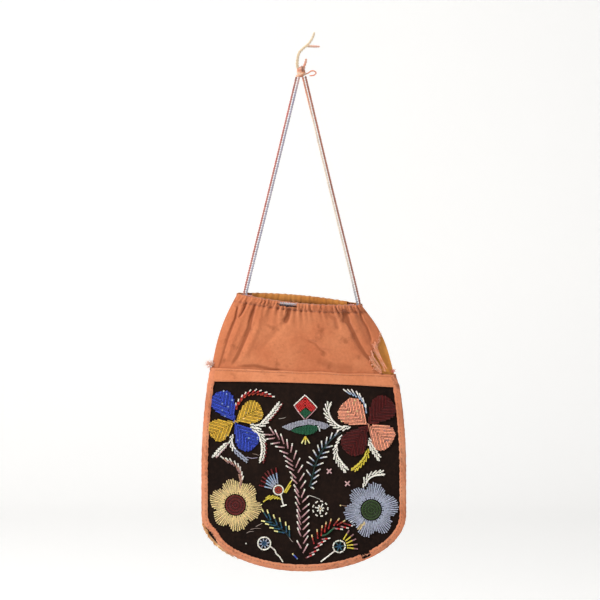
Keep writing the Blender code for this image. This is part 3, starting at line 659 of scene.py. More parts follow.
# %% Rows of a gathered wall
def casing_rows(start, body, top, turn, hem):
    """Rows of a gathered wall as depth, angle round the cord, and kind (0 wall, 1 fold, 2 hem)."""
    rows = [(start + (STITCH - start) * i / body, 0.0, 0) for i in range(body)]
    rows += [(STITCH + (FOLD_LINE - STITCH) * i / top, 0.0, 0) for i in range(top)]
    rows += [(FOLD_LINE, math.pi * i / turn, 1) for i in range(turn + 1)]
    rows += [(FOLD_LINE + (STITCH - FOLD_LINE) * i / hem, math.pi, 2) for i in range(1, hem + 1)]
    return np.array(rows)


# %% A gathered wall
def gathered_sheet(rows, face, side, lift, folds, seed, inset=None):
    """A place function for a wall that ends in a casing."""
    def place(u, w):
        v, angle, kind = rows[np.round(w * (len(rows) - 1)).astype(int)].T
        s = -side * (2.0 * u - 1.0)
        if inset is not None:
            pulled = inset(v) * to_share(s) ** 3
            s = s - pulled / half_width(v)
        x, z = plan(s, v, lift)
        share = to_share((-v - BAND_HEIGHT) / (YOKE_HEIGHT - BAND_HEIGHT))
        calm = to_share((1.0 - np.abs(s)) * 9.0)
        near_stitch = np.exp(-np.abs(v - STITCH) / 7.0)
        on_casing = to_share((STITCH - v) / 3.0)
        ripples = waves(s, seed, 6, 45.0, 95.0)
        broad = waves(s, seed + 1, 4, 10.0, 24.0)
        fine = waves(s + 0.004 * (v - STITCH), seed + 2, 6, 50.0, 160.0)
        creases = fold_height(x, z, folds)
        pinch = bell(v, STITCH, 1.3)
        relief = share ** 1.3 * (PUFF + 0.7 * broad)
        relief += PUCKER * near_stitch * ripples + CASING_PUCKER * on_casing * fine
        relief += FOLD_GAIN * creases * to_share(1.0 - on_casing)
        relief = np.clip(relief * (0.15 + 0.85 * calm) - 0.9 * pinch, 0.0, RELIEF_LIMIT)
        plain = face(s, v)
        front = plain + relief
        hem = plain - 2 * COTTON - CHANNEL
        depth = np.where(kind == 1, (front + hem) / 2 + (front - hem) / 2 * np.cos(angle), front)
        height = np.where(kind == 1, CASING_RADIUS * np.sin(angle), 0.0)
        height += np.where(kind == 1, 0.35 * waves(s, seed + 3, 5, 40.0, 90.0) * np.sin(angle), 0.0)
        meets = to_share((v - FOLD_LINE) / (STITCH - FOLD_LINE)) ** 2
        hem_depth = hem + (CHANNEL - LAYER_GAP) * meets
        depth = np.where(kind == 2, hem_depth, depth)
        length = -v + angle * CASING_RADIUS + np.where(kind == 2, v - FOLD_LINE, 0.0)
        # Darker in the valleys of the puckers and creases and at the stitch line: partly grime, partly painted shade
        # where the cloth sinks.
        grime_and_shade = 0.75 * pinch * to_share(0.55 - 0.8 * ripples)
        grime_and_shade += 0.7 * to_share(-ripples) * near_stitch
        grime_and_shade += 0.7 * on_casing * to_share(-fine)
        grime_and_shade += 0.9 * to_share(-creases - 0.35)
        return x, side * depth, z + height, s * PANEL_TOP_WIDTH / 2, length, grime_and_shade
    return place


# %% Open ends of the casing
def casing_cut(rows, extra=None):
    """Opens the casing at both ends, where the cord comes out."""
    def cut(u, w):
        v, angle, kind = rows[min(len(rows) - 1, int(w * (len(rows) - 1) + 0.5))]
        if abs(2.0 * u - 1.0) > HEM_END and (kind == 2 or (kind == 1 and angle > 1.05)):
            return True
        return bool(extra and extra(2.0 * u - 1.0, v, kind))
    return cut


# %% Make the yoke
WORN_HOLE = (-0.37, -0.04)     # the casing is worn through between these shares of the width


def worn_through(s, v, kind):
    """A frayed hole in the casing that shows the cord."""
    if kind != 0 or not WORN_HOLE[0] < s < WORN_HOLE[1]:
        return False
    middle = (WORN_HOLE[0] + WORN_HOLE[1]) / 2
    share = 1.0 - abs(s - middle) / (middle - WORN_HOLE[0])
    cord_line = CASING_RADIUS + 1.1 - YOKE_HEIGHT + 0.3 * math.sin(s * 60.0)
    return abs(v - cord_line) < 1.5 * share ** 0.6


YOKE_ROWS = casing_rows(-SEAM_ALLOWANCE - 2 * GAP, 78, 12, 10, 8)
yoke = sheet_of_cloth(
    "gathered_yoke", SALMON, 260, len(YOKE_ROWS) - 1,
    gathered_sheet(YOKE_ROWS, yoke_face, -1, -FRONT_SAG, YOKE_FOLDS, 11, torn_inset),
    COTTON, casing_cut(YOKE_ROWS, worn_through))
finish_piece(yoke, "salmon_cotton", "front_yoke")

# %% [markdown]
# ## Seam band, back and binding
# A strip of the same salmon cotton covers the join of yoke and velvet. The back is one
# ochre cloth with a casing of its own, whose edge shows above the front. A tape is folded
# over the raw edges all round. It is the most worn part: rubbed brown, puckered by its
# stitches, and torn open near the lower right.

# %% Seam band
BAND_LIP = 2.8


def place_band(u, w):
    """Lays the strip over the join, with turned edges and a slit."""
    v = GAP - (BAND_HEIGHT + GAP) * w
    s = (1.0 - (BAND_LIP + 2 * GAP) / half_width(v)) * (2.0 * u - 1.0)
    v = v - 0.5 * waves(s, 31, 5, 8.0, 30.0) * to_share(w * 3.0 - 2.0) - 1.6 * (1.0 - s * s) * (1.0 - w)
    x, z = plan(s, v)
    turned = 0.28 * bell(w, 0.93, 0.05) + 0.18 * bell(w, 0.1, 0.05)
    by_stitches = bell(w, 0.84, 0.08) + bell(w, 0.17, 0.08)
    ripple = 0.16 * waves(s, 33, 6, 40.0, 90.0) * by_stitches
    slit = -0.5 * np.exp(-((x + 18.5) / 3.6) ** 2 - ((z + 281.9) / 0.55) ** 2)
    y = -(velvet_face(s, v) + GAP + COTTON + turned + ripple + 0.15 * waves(s, 35, 4, 5.0, 15.0) + slit + 0.2)
    # Darker along the stitch line, and much darker in the slit.
    stitch_and_slit_dark = bell(w, 0.84, 0.03) * 0.5 + 1.6 * to_share(-slit)
    return x, y, z, x, z, stitch_and_slit_dark


band = sheet_of_cloth("seam_strip", BAND_CLOTH, 240, 18, place_band, COTTON)
finish_piece(band, "salmon_cotton", "seam_band")

# %% Back panel
BACK_FOLDS = [
    (-1.0, 1.6, [(-48.0, -216.0), (-52.0, -236.0), (-62.0, -262.0)]),
    (-1.1, 2.0, [(-30.0, -214.0), (-36.0, -240.0), (-46.0, -270.0)]),
    (-0.9, 1.5, [(-14.0, -213.0), (-17.0, -232.0), (-24.0, -252.0)]),
    (-1.1, 1.8, [(8.0, -213.0), (10.0, -236.0), (14.0, -262.0)]),
    (-1.0, 1.5, [(26.0, -214.0), (32.0, -238.0), (44.0, -270.0)]),
    (-1.0, 1.4, [(42.0, -217.0), (48.0, -236.0), (58.0, -262.0)]),
]
BACK_SPLIT = -12.0         # depth at which the plain part meets the gathered one
BACK_TOP = casing_rows(BACK_SPLIT, 46, 12, 10, 8)
LOWER_ROWS = 48
BLEND_ROWS = 10            # rows over which the two are blended


def place_back(u, w):
    """A plain part below and a gathered casing above, blended into each other."""
    total = LOWER_ROWS + len(BACK_TOP) - 1
    row = np.round(w * total).astype(int)
    upper = gathered_sheet(BACK_TOP, back_face, 1, BACK_RISE, BACK_FOLDS, 41)
    top = upper(u, to_share((row - LOWER_ROWS) / (len(BACK_TOP) - 1)))
    s = -(2.0 * u - 1.0)
    share = to_share(row / LOWER_ROWS)
    v = bottom_of(s) + (BACK_SPLIT - bottom_of(s)) * share
    x, z = plan(s, v)
    slack = 0.35 * waves(s * 2.0 + v / 80.0, 43, 4, 2.0, 6.0) + 0.12 * waves(s + v / 40.0, 44, 4, 8.0, 20.0)
    y = back_face(s, v) + to_share(1.0 - s * s) * to_share(share * 4.0) * (0.4 + slack)
    blend = to_share((row - LOWER_ROWS + BLEND_ROWS) / BLEND_ROWS)
    y = y * (1.0 - blend) + (back_face(s, v) + (top[1] - back_face(s, BACK_SPLIT + 0 * v))) * blend
    below = row < LOWER_ROWS
    flat = s * PANEL_TOP_WIDTH / 2
    return (np.where(below, x, top[0]), np.where(below, y, top[1]), np.where(below, z, top[2]),
            flat, np.where(below, -v, top[4]), np.where(below, 0.1 * np.abs(slack), top[5]))


def cut_back(u, w):
    """Opens both ends of the back's casing."""
    row = round(w * (LOWER_ROWS + len(BACK_TOP) - 1) - 0.01) - LOWER_ROWS
    return row > 0 and casing_cut(BACK_TOP)(u, row / (len(BACK_TOP) - 1))


back = sheet_of_cloth("back_cloth", OCHRE, 180, LOWER_ROWS + len(BACK_TOP) - 1, place_back, COTTON, cut_back)
finish_piece(back, "ochre_cotton", "back_panel")

# %% Edge binding
BINDING = 0.8
BINDING_LIP = 5.2                # how far the tape reaches on to the cloth, at the bottom
LEFT_LIP = 4.6
RIGHT_LIP = 4.8
BINDING_CLEAR = 0.6
BINDING_RISE = 12.0              # how far the tape runs up beside the yoke
TAPE_LENGTH = 488.0
TAPE_WIDTH = 14.0
SIDE_SHARE = 0.264               # each straight side is this share of the tape
TORN = (0.594, 0.610)            # the tape is torn open between these shares
SLIPPED = (0.322, 0.026, 3.6)    # where the tape has slipped inwards, how far along, how far in


def edge_path(t):
    """s and v on the pouch's edge, down the left side, round the bottom and up the right."""
    left = -BINDING_RISE + (PANEL_STRAIGHT + BINDING_RISE) * to_share(t / SIDE_SHARE)
    right = -BINDING_RISE + (PANEL_STRAIGHT + BINDING_RISE) * to_share((1.0 - t) / SIDE_SHARE)
    angle = np.pi * to_share((t - SIDE_SHARE) / (1.0 - 2 * SIDE_SHARE))
    v = np.where(t < 0.5, left, right)
    round_part = (t > SIDE_SHARE) & (t < 1.0 - SIDE_SHARE)
    return np.where(round_part, -np.cos(angle), np.where(t < 0.5, -1.0, 1.0)), \
        np.where(round_part, PANEL_STRAIGHT + PANEL_CURVE * np.sin(angle), v)


def edge_place(t):
    """A place on the pouch's edge in millimetres, and the way out from it."""
    x0, z0 = plan(*edge_path(t - 0.004))
    x1, z1 = plan(*edge_path(t + 0.004))
    length = np.hypot(x1 - x0, z1 - z0)
    return *plan(*edge_path(t)), (z1 - z0) / length, -(x1 - x0) / length


# %% Lay the tape round the edge
# Rows across the tape: side (1 back, 0 turn, -1 front), and the share of the lip or of the turn.
LIP_SHARES = (0.0, 0.12, 0.3, 0.5, 0.7, 0.86, 1.0)
TAPE_ROWS = ([(1, share) for share in LIP_SHARES[::-1]]
             + [(0, share) for share in (0.15, 0.32, 0.5, 0.68, 0.85)]
             + [(-1, share) for share in LIP_SHARES])


def place_tape(u, w):
    """Folds the tape round the edge, from its back row to its front row."""
    kinds, amount = np.array(TAPE_ROWS)[np.round(w * (len(TAPE_ROWS) - 1)).astype(int)].T
    s, v = edge_path(u)
    x, z, out_x, out_z = edge_place(u)
    side_lip = np.where(u < 0.5, LEFT_LIP, RIGHT_LIP)
    lip = side_lip + (BINDING_LIP - side_lip) * to_share(-out_z)
    ragged = 0.32 * waves(u * 60.0, 51, 5, 4.0, 15.0)
    turn = kinds == 0
    slipped = SLIPPED[2] * bell(u, SLIPPED[0], SLIPPED[1]) * (1.0 + 0.15 * np.sin(u * 900.0))
    inward = slipped + np.where(turn, 0.0, amount * (lip - 0.3 * slipped + ragged * (amount > 0.9)))
    near_x, near_z = x - out_x * inward, z - out_z * inward
    near_s, near_v = locate(near_x, near_z)
    near_s, near_v = np.where(inward > 0.05, near_s, s), np.where(inward > 0.05, near_v, v)
    crown = 0.35 * np.sin(np.pi * amount)
    pucker = 0.24 * waves(u * 60.0, 53, 6, 5.0, 18.0) * np.sin(np.pi * amount * 0.9)
    relief = GAP + BINDING + np.where(turn, 0.0, crown + pucker)
    front = -(velvet_face(near_s, near_v) + relief)
    rear = back_face(near_s, near_v) + relief
    out = (BINDING + BINDING_CLEAR) * np.sin(np.pi * amount) ** 0.6 * (1.0 + 0.12 * waves(u * 60.0, 55, 5, 3.0, 14.0))
    y_turn = (front + rear) / 2 + (rear - front) / 2 * np.cos(np.pi * amount)
    x = near_x + np.where(turn, out_x * out, 0.0)
    z = near_z + np.where(turn, out_z * out, 0.0)
    y = np.where(turn, y_turn, np.where(kinds < 0, front, rear))
    wandering = u * 60.0 + 0.6 * np.sin(w * 11.0) + 0.3 * np.sin(w * 29.0)
    rubbed = to_share(0.9 * waves(wandering, 57, 5, 1.0, 6.0) + 0.1) * np.where(turn, 0.9, 0.5)
    return x, y, z, u * TAPE_LENGTH, w * TAPE_WIDTH, rubbed


def cut_tape(u, w):
    """The place where the tape is torn open."""
    ragged = 0.006 * math.sin(w * 55.0) * (1.0 - w)
    return TORN[0] + ragged < u < TORN[1] - ragged and w > 0.66


tape = sheet_of_cloth("edge_tape", TAPE, 480, len(TAPE_ROWS) - 1, place_tape, BINDING, cut_tape)
finish_piece(tape, "salmon_cotton", "edge_binding")

# %% [markdown]
# ## Glass seed beads
# A seed bead is a short glass barrel with rounded rims. One is modelled here: a cylinder
# of eight sides, with its rims bevelled. A motif then needs up to a few hundred copies, so
# the copies are stamped into one mesh per motif, each with its own small turn, size and
# shade, as real beads have. Rows of a petal or rosette are also made lighter and darker in
# turn, as painted highlight and shade. The colour of each bead is kept in a colour attribute.

# %% Model one bead
BEAD_WIDTH = 1.42
BEAD_LENGTH = 1.16
RIM = 0.27              # how far the rims are rounded
ROW_PITCH = 1.40        # rows of a filled motif lie this far apart
BEAD_PITCH = 1.22       # beads on one thread lie this far apart
BEAD_LIFT = 0.06        # and this far off the velvet
SHIFT_SPREAD = 0.05     # how far a bead strays from its place, and turns, in radians
SIZE_SPREAD = 0.035
SHADE_SPREAD = 0.10     # how much its brightness varies,
HUE_SPREAD = 0.025      # and each of its three colours
start_clean()
bpy.ops.mesh.primitive_cylinder_add(
    vertices=8, radius=BEAD_WIDTH / 2, depth=BEAD_LENGTH, rotation=(0.0, math.radians(90), 0.0))
bead = bpy.context.object
bpy.ops.object.transform_apply(location=True, rotation=True, scale=True)
bpy.ops.object.mode_set(mode="EDIT")
bpy.ops.mesh.select_all(action="DESELECT")
bpy.ops.object.mode_set(mode="OBJECT")
for edge in bead.data.edges:
    first, second = (bead.data.vertices[i].co for i in edge.vertices)
    edge.select = abs(first.x - second.x) < 0.01
bpy.ops.object.mode_set(mode="EDIT")
bpy.ops.mesh.select_mode(type="EDGE")
bpy.ops.mesh.bevel(offset=RIM, segments=1, affect="EDGES")
bpy.ops.mesh.select_all(action="SELECT")
bpy.ops.mesh.quads_convert_to_tris()
bpy.ops.object.mode_set(mode="OBJECT")
BEAD_POINTS = np.array([v.co[:] for v in bead.data.vertices])
BEAD_FACES = np.array([p.vertices[:] for p in bead.data.polygons])
bpy.data.objects.remove(bead, do_unlink=True)
print("one bead", len(BEAD_FACES), "faces")

# %% Glass material
GLASS, recipe, shader = new_material("bead_glass", Roughness=0.3, Coat_Weight=0.22, Coat_Roughness=0.12)
shader.inputs["Specular IOR Level"].default_value = 0.35
shade = recipe.add("ShaderNodeAttribute", attribute_name="paint").outputs["Color"]
recipe.wire(shade, shader.inputs["Base Color"])

# %% Colours of the beads
PALETTE = {
    "white": (228, 224, 212), "cream": (216, 192, 136), "gold": (206, 166, 58), "blue": (52, 72, 176),
    "peach": (226, 152, 122), "maroon": (80, 14, 12), "grey_blue": (158, 163, 180), "eye_green": (54, 76, 36),
    "eye_maroon": (104, 30, 28), "eye_shade": (62, 10, 9), "leaf_shade": (30, 44, 16),
    "red": (188, 40, 38), "dark_red": (112, 22, 24), "rust": (168, 60, 36),
    "green": (30, 86, 58), "lilac": (158, 158, 170), "yellow": (208, 188, 62), "pink": (198, 158, 158),
    "mauve": (150, 108, 108), "brown": (170, 128, 108), "pale": (204, 206, 204), "teal": (34, 78, 82),
    "dark_teal": (18, 42, 38), "deep_blue": (34, 78, 112), "sky": (146, 168, 194), "rose": (180, 136, 138),
    "lemon": (232, 224, 150),
}
PALETTE = {name: np.array(linear(*rgb)[:3]) for name, rgb in PALETTE.items()}


# %% Where beads lie
def polar(foot, radius, turn):
    """The place at a distance and a heading from a foot."""
    return foot[0] + radius * math.cos(turn), foot[1] + radius * math.sin(turn)


# %% Sew beads
class Beadwork:
    """Collects the beads of one motif in the pattern's own millimetres, then makes its mesh."""

    def __init__(self, name):
        self.name = name
        self.draw = random.Random(name + "1")
        self.beads = []
        # Rows are made lighter and darker in turn: painted highlight and shade.
        self.tone = 1.0            # how bright the strung row is against its neighbours

    def bead(self, x, z, angle, colour, size=1.0, rise=0.0):
        self.beads.append((x, z, angle, size, rise, colour, self.tone))

    def row(self, start, heading, count, colours, rise=0.0, size=1.0):
        """count beads from start; colours is a name, or one name a bead."""
        for i in range(count):
            name = colours if isinstance(colours, str) else colours[min(i, len(colours) - 1)]
            self.bead(*polar(start, (i + 0.5) * BEAD_PITCH * size, heading), heading, name, size, rise)

    def line(self, points, colour, size=1.0, rise=0.0):
        """Beads in single file along a curve."""
        route = even_route(points, BEAD_PITCH * size)
        for i, place in enumerate(route):
            before, after = route[max(i - 1, 0)], route[min(i + 1, len(route) - 1)]
            heading = math.atan2(after[1] - before[1], after[0] - before[0])
            self.bead(place[0], place[1], heading, colour, size, rise)

    def make(self, slot, in_model=True):
        """Stamps the beads on the velvet as one mesh, in place of the model's node of that name."""
        x, z, angle, size, rise = np.array([b[:5] for b in self.beads]).T
        count = len(x)
        draw = np.random.default_rng(len(self.name) * 7919 + count)
        angle = angle + draw.normal(0.0, SHIFT_SPREAD, count)
        size = size * draw.normal(1.0, SIZE_SPREAD, count)
        world_x, world_z = on_panel(x + draw.normal(0.0, SHIFT_SPREAD, count),
                                    z + draw.normal(0.0, SHIFT_SPREAD, count))
        s, v = locate(world_x, world_z)
        y = -(velvet_face(s, v) + BEAD_LIFT + BEAD_WIDTH / 2 * size + rise + draw.uniform(0.0, 0.1, count))
        shaped = BEAD_POINTS[None, :, :] * size[:, None, None]
        along, across = np.cos(angle)[:, None], np.sin(angle)[:, None]
        points = np.stack([world_x[:, None] + shaped[..., 0] * along - shaped[..., 2] * across,
                           y[:, None] + shaped[..., 1],
                           world_z[:, None] + shaped[..., 0] * across + shaped[..., 2] * along], axis=2)
        faces = (BEAD_FACES[None] + (np.arange(count) * len(BEAD_POINTS))[:, None, None]).reshape(-1, 3)
        piece = mesh_piece(self.name + "_beads", points.reshape(-1, 3), faces, GLASS)
        # Each bead takes the painted highlight or shade of its row.
        colours = np.array([PALETTE[b[5]] * b[6] for b in self.beads])
        colours = colours * draw.normal(1.0, SHADE_SPREAD, (count, 1)) * draw.normal(1.0, HUE_SPREAD, (count, 3))
        paint_points(piece, np.repeat(to_share(colours), len(BEAD_POINTS), axis=0))
        finish_piece(piece, slot, *([self.name] if in_model else []))
        print(self.name, count, "beads")
        return piece


# %% From the pattern to the panel
FIELD_WIDTH = 175.9     # the pattern was measured on a field this wide,
FIELD_TAPER = 0.0654    # which narrows by this share at its top


def on_panel(x, z):
    """World millimetres of a place measured from the middle of the panel's top."""
    depth = np.maximum(0.0, -z)
    taper = to_share(1.0 - depth / PANEL_TAPER)
    field = FIELD_WIDTH * (1.0 - FIELD_TAPER * taper ** 2)
    return POUCH_AXIS + x * 2 * (half_width(depth) - BAND_LIP) / field, PANEL_TOP + z


# %% Points and triangles into a piece
def mesh_piece(name, points, faces, material):
    """A mesh from points in millimetres and triangles, shaded smooth."""
    mesh = bpy.data.meshes.new(name)
    mesh.vertices.add(len(points))
    mesh.vertices.foreach_set("co", (np.asarray(points) * MM).ravel())
    mesh.loops.add(3 * len(faces))
    mesh.loops.foreach_set("vertex_index", np.asarray(faces).ravel())
    mesh.polygons.add(len(faces))
    mesh.polygons.foreach_set("loop_start", np.arange(0, 3 * len(faces), 3))
    mesh.update(calc_edges=True)
    mesh.validate()
    mesh.shade_smooth()
    mesh.materials.append(material)
    piece = bpy.data.objects.new(name, mesh)
    bpy.context.scene.collection.objects.link(piece)
    return piece


def paint_points(piece, colours):
    """Stores one colour a point, which the material reads."""
    layer = piece.data.color_attributes.new("paint", "FLOAT_COLOR", "POINT")
    layer.data.foreach_set("color", np.hstack([colours, np.ones((len(colours), 1))]).ravel())


# %% Smooth lines
def smooth_line(points, steps=12):
    """Many points on a smooth curve through a few; works in two or three dimensions."""
    known = np.array(points, float)
    known = np.vstack([2 * known[0] - known[1], known, 2 * known[-1] - known[-2]])
    fine = []
    for a, b, c, d in zip(known, known[1:], known[2:], known[3:]):
        for t in np.arange(steps) / steps:
            fine.append(0.5 * (2 * b + (c - a) * t + (2 * a - 5 * b + 4 * c - d) * t ** 2
                               + (3 * b - a - 3 * c + d) * t ** 3))
    fine.append(known[-2])
    return np.array(fine)


def even_route(points, pitch, count=None):
    """Evenly spaced points on the smooth curve, about pitch apart, or count of them."""
    fine = smooth_line(points)
    lengths = np.concatenate([[0.0], np.cumsum(np.linalg.norm(np.diff(fine, axis=0), axis=1))])
    count = count or max(2, int(round(lengths[-1] / pitch)) + 1)
    targets = np.linspace(0.0, lengths[-1], count)
    return np.stack([np.interp(targets, lengths, fine[:, k]) for k in range(fine.shape[1])], axis=1)


# %% [markdown]
# ## Ways to fill a motif
# The bead worker fills a petal with rows that slant out from its midrib, as on a leaf. A
# rosette has rows that spread from its eye, with shorter ones let in between as the circle
# widens, and its eye is made of rings. A feather is a curve with short rows that lean
# forward on both sides, and a stem has longer ones, each with light beads at its tip.


# %% Petals
PETAL_START = 0.2                   # a petal's rows start this far from its foot
PETAL_POWERS = (1.15, 0.5)          # how its width swells from the foot and closes at the tip


def petal(name, slot, foot, angle, length, width, colour, lean=40.0, tint=None):
    """Rows that slant forward from the midrib until they reach the outline."""
    work = Beadwork(name)
    turn = math.radians(angle)
    along = np.array([math.cos(turn), math.sin(turn)])
    right = np.array([along[1], -along[0]])
    swell, close = PETAL_POWERS
    widest = (swell / (swell + close)) ** swell * (close / (swell + close)) ** close

    def inside(place):
        away = place - np.array(foot)
        share = (away @ along - PETAL_START) / (length + 0.6)
        if not 0.0 < share < 1.0:
            return False
        half = (width / 2 + 0.3) * share ** swell * (1.0 - share) ** close / widest
        return abs(away @ right) < max(half, 1.1 if share < 0.5 else 0.0)

    slant = math.radians(lean)
    step = ROW_PITCH / math.sin(slant)
    for side in (1.0, -1.0):
        heading = turn - side * slant
        direction = np.array([math.cos(heading), math.sin(heading)])
        root = -width * 0.2 + (0.3 * step if side > 0 else 0.0)
        while root < length + PETAL_START:
            base = np.array(foot) + along * root + right * side * 0.1
            # Each row is lighter or darker than the last: painted highlight and shade between the rows.
            work.tone = work.draw.uniform(1.05, 1.3) if work.tone < 1.0 else work.draw.uniform(0.6, 0.85)
            for i in range(40):
                place = base + direction * BEAD_PITCH * (i + 0.5)
                if inside(place):
                    shade = tint if tint and work.draw.random() < 0.02 else colour
                    work.bead(place[0], place[1], heading, shade)
            root += step
    return work.make(slot)


# %% Rosettes
ROSETTE_ROWS = 72
ROSETTE_STARTS = (9.7, 10.3, 9.7, 11.6)    # where its rows begin, in turn
ROSETTE_NOTCH = 17.9                       # its radius between two tips


def rosette(name, slot, foot, tips, reach, colour, patches=()):
    """Rows that spread from the eye to a scalloped outline.

    tips are the angles of its points and reach is how far they lie from the foot; patches
    are (place, radius, colour) where beads of another colour were used.
    """
    work = Beadwork(name)
    order = sorted(a % 360 for a in tips)
    order.append(order[0] + 360)

    def outline(angle):
        angle = angle % 360
        angle += 360 * (angle < order[0])
        for a, b in zip(order, order[1:]):
            if a <= angle <= b:
                bulge = abs(math.cos(math.pi * (angle - a) / (b - a))) ** 0.8
                return ROSETTE_NOTCH + (reach - ROSETTE_NOTCH) * bulge
        return ROSETTE_NOTCH

    for i in range(ROSETTE_ROWS):
        angle = 360 * i / ROSETTE_ROWS
        # Neighbouring spokes alternate lighter and darker: painted highlight and shade.
        work.tone = work.draw.uniform(0.98, 1.12) if i % 2 == 0 else work.draw.uniform(0.76, 0.94)
        reach_here = outline(angle) + 0.5 * math.sin(i * 2.4)
        turn = math.radians(angle)
        radius = ROSETTE_STARTS[i % 4] + BEAD_PITCH / 2
        while radius < reach_here:
            x, z = polar(foot, radius, turn)
            shade = colour
            for (px, pz), size, other in patches:
                if math.hypot(x - px, z - pz) < size:
                    shade = other
            work.bead(x, z, turn, shade, 1.0 if radius > 12.0 else 0.94)
            radius += BEAD_PITCH
    return work.make(slot)


# %% Rings, and a rosette's eye
EYE_FIRST, EYE_RADIUS = 1.35, 9.4    # the eye's first ring, and where it ends
EYE_PITCH = 1.36                     # its rings lie this far apart


def ring(work, foot, radius, colour, count=None, size=1.0):
    """Beads end to end on a circle."""
    count = count or round(2 * math.pi * radius / (BEAD_PITCH * size))
    for i in range(count):
        turn = 2 * math.pi * i / count
        work.bead(*polar(foot, radius, turn), turn + math.pi / 2, colour, size)


def rosette_eye(name, slot, foot, colours):
    """Rings of beads round one in the middle."""
    work = Beadwork(name)
    work.bead(*foot, 0.0, colours[0])
    for index, radius in enumerate(np.arange(EYE_FIRST, EYE_RADIUS, EYE_PITCH)):
        ring(work, foot, radius, colours[(index + 1) % len(colours)])
    return work.make(slot)


# %% Feathers
def feather(name, slot, spine, left, right, lean=21.0, first=None):
    """Long rows that lean forward on both sides of a curve and touch each other.

    left and right name the colours from the curve outwards; first is a colour for the rows
    up to a share of the way.
    """
    work = Beadwork(name)
    fine = smooth_line(spine)
    length = float(np.linalg.norm(np.diff(fine, axis=0), axis=1).sum())
    pairs = max(3, round(length / (0.85 * ROW_PITCH / math.sin(math.radians(lean)))))
    route = even_route(spine, 1.0, 2 * pairs + 1)
    for i in range(2 * pairs):
        before, after = route[max(i - 1, 0)], route[min(i + 1, 2 * pairs)]
        turn = math.atan2(after[1] - before[1], after[0] - before[0])
        side, colours = (1.0, left) if i % 2 == 0 else (-1.0, right)
        share = (i + 0.5) / (2 * pairs)
        if first and share < first[1]:
            colours = [first[0]] * len(colours)
        count = round((len(colours) + 1) * (1.0 - 0.45 * abs(2.0 * share - 1.0) ** 4))
        heading = turn + side * math.radians(lean)
        normal = turn + side * math.pi / 2
        start = route[i] + 0.35 * np.array([math.cos(normal), math.sin(normal)])
        shades = [colours[int(k * len(colours) / count)] for k in range(count)]
        work.row(start, heading, count, shades)
    return work.make(slot)


# %% Arms along a stem
def arms(work, spine, tips, length, colours, clear=0.75):
    """A row of beads from each tip back to the stem; colours run from the tip inwards.

    A row is about length long and stops clear of the stem; its first two beads are light.
    """
    route = even_route(spine, 0.4)
    for tip in tips:
        away = np.linalg.norm(route - np.array(tip), axis=1)
        behind = [i for i in range(int(np.argmin(away)) + 1) if away[i] >= length]
        back = route[behind[-1] if behind else 0] - np.array(tip)
        reach = float(np.hypot(*back))
        count = max(2, round((reach - clear) / BEAD_PITCH))
        start = np.array(tip) - BEAD_PITCH / 2 * back / reach
        shades = [colours[int(k * len(colours) / count) if k > 1 else 0] for k in range(count)]
        work.row(start, math.atan2(back[1], back[0]), count, shades)


def spray(name, slot, spine, tips, length, colours, clear):
    """A motif of arms alone."""
    work = Beadwork(name)
    arms(work, spine, tips, length, colours, clear)
    return work.make(slot)


# %% Left flower
LEFT_FOOT = (-61.7, -33.8)
petal("blue_petal_upper", "blue_beads", LEFT_FOOT, 121, 30.0, 20.0, "blue", 38, "sky")
petal("gold_petal_upper", "gold_beads", LEFT_FOOT, 31, 26.5, 20.0, "gold", 42, "cream")
petal("gold_petal_lower", "gold_beads", LEFT_FOOT, 207, 24.0, 19.5, "gold", 42, "cream")
petal("blue_petal_lower", "blue_beads", LEFT_FOOT, 305, 28.2, 20.5, "blue", 38, "sky")
RED_SPRAY_ROOT = [(-60.5, -23.4), (-58.3, -18.9), (-55.2, -14.0), (-50.7, -10.8), (-45.3, -9.3), (-39.4, -9.5),
                  (-34.0, -10.8), (-29.1, -12.0)]
RED_SPRAY_TIPS = [(-60.8, -16.9), (-58.3, -13.5), (-55.1, -9.7), (-51.8, -7.2), (-47.6, -5.0), (-42.5, -4.5),
                  (-38.2, -5.3), (-33.2, -6.8), (-29.9, -8.5), (-26.6, -10.8)]
spray("red_spray", "red_beads", RED_SPRAY_ROOT, RED_SPRAY_TIPS, 9.4, ["white", "red", "dark_red", "rust"], 0.3)
feather("white_spray_upper", "white_beads", [(-48.2, -36.4), (-42.1, -37.4), (-36.7, -34.6), (-31.1, -29.5),
        (-26.6, -24.3), (-21.0, -17.3)], ["white"] * 4, ["white", "white", "dark_red", "dark_red"],
        first=("white", 0.4))
feather("white_spray_lower", "white_beads", [(-48.2, -38.7), (-42.1, -41.4), (-39.0, -45.7), (-36.7, -52.2),
        (-36.2, -59.4), (-37.8, -68.9)], ["white", "white", "dark_red", "dark_red"], ["white"] * 4,
        first=("white", 0.4))
feather("grey_spray", "grey_blue_beads", [(-64.1, -44.5), (-65.2, -50.4), (-63.4, -56.7), (-60.1, -60.7),
        (-56.3, -64.3), (-50.6, -68.9)], ["grey_blue"] * 3, ["grey_blue"] * 2, 20, ("white", 0.42))
feather("white_spray_left", "white_beads", [(-67.9, -51.8), (-71.3, -55.8), (-74.9, -59.4), (-79.7, -65.3)],
        ["white", "rose"], ["white"] * 3, 26)
work = Beadwork("brown_spray")
arms(work, [(-56.9, -91.8), (-56.3, -86.0), (-57.6, -80.5), (-59.9, -76.1), (-63.5, -72.5), (-66.8, -70.9)],
     [(-74.1, -64.7), (-69.8, -66.2), (-66.3, -66.7), (-62.0, -69.0), (-58.9, -71.3), (-56.9, -74.2),
     (-55.2, -78.5), (-54.3, -82.5)], 9.0, ["white", "brown", "mauve"], 0.2)
work.line([(-58.1, -81.0), (-56.9, -86.4), (-56.7, -92.2)], "brown")
work.make("pink_beads")

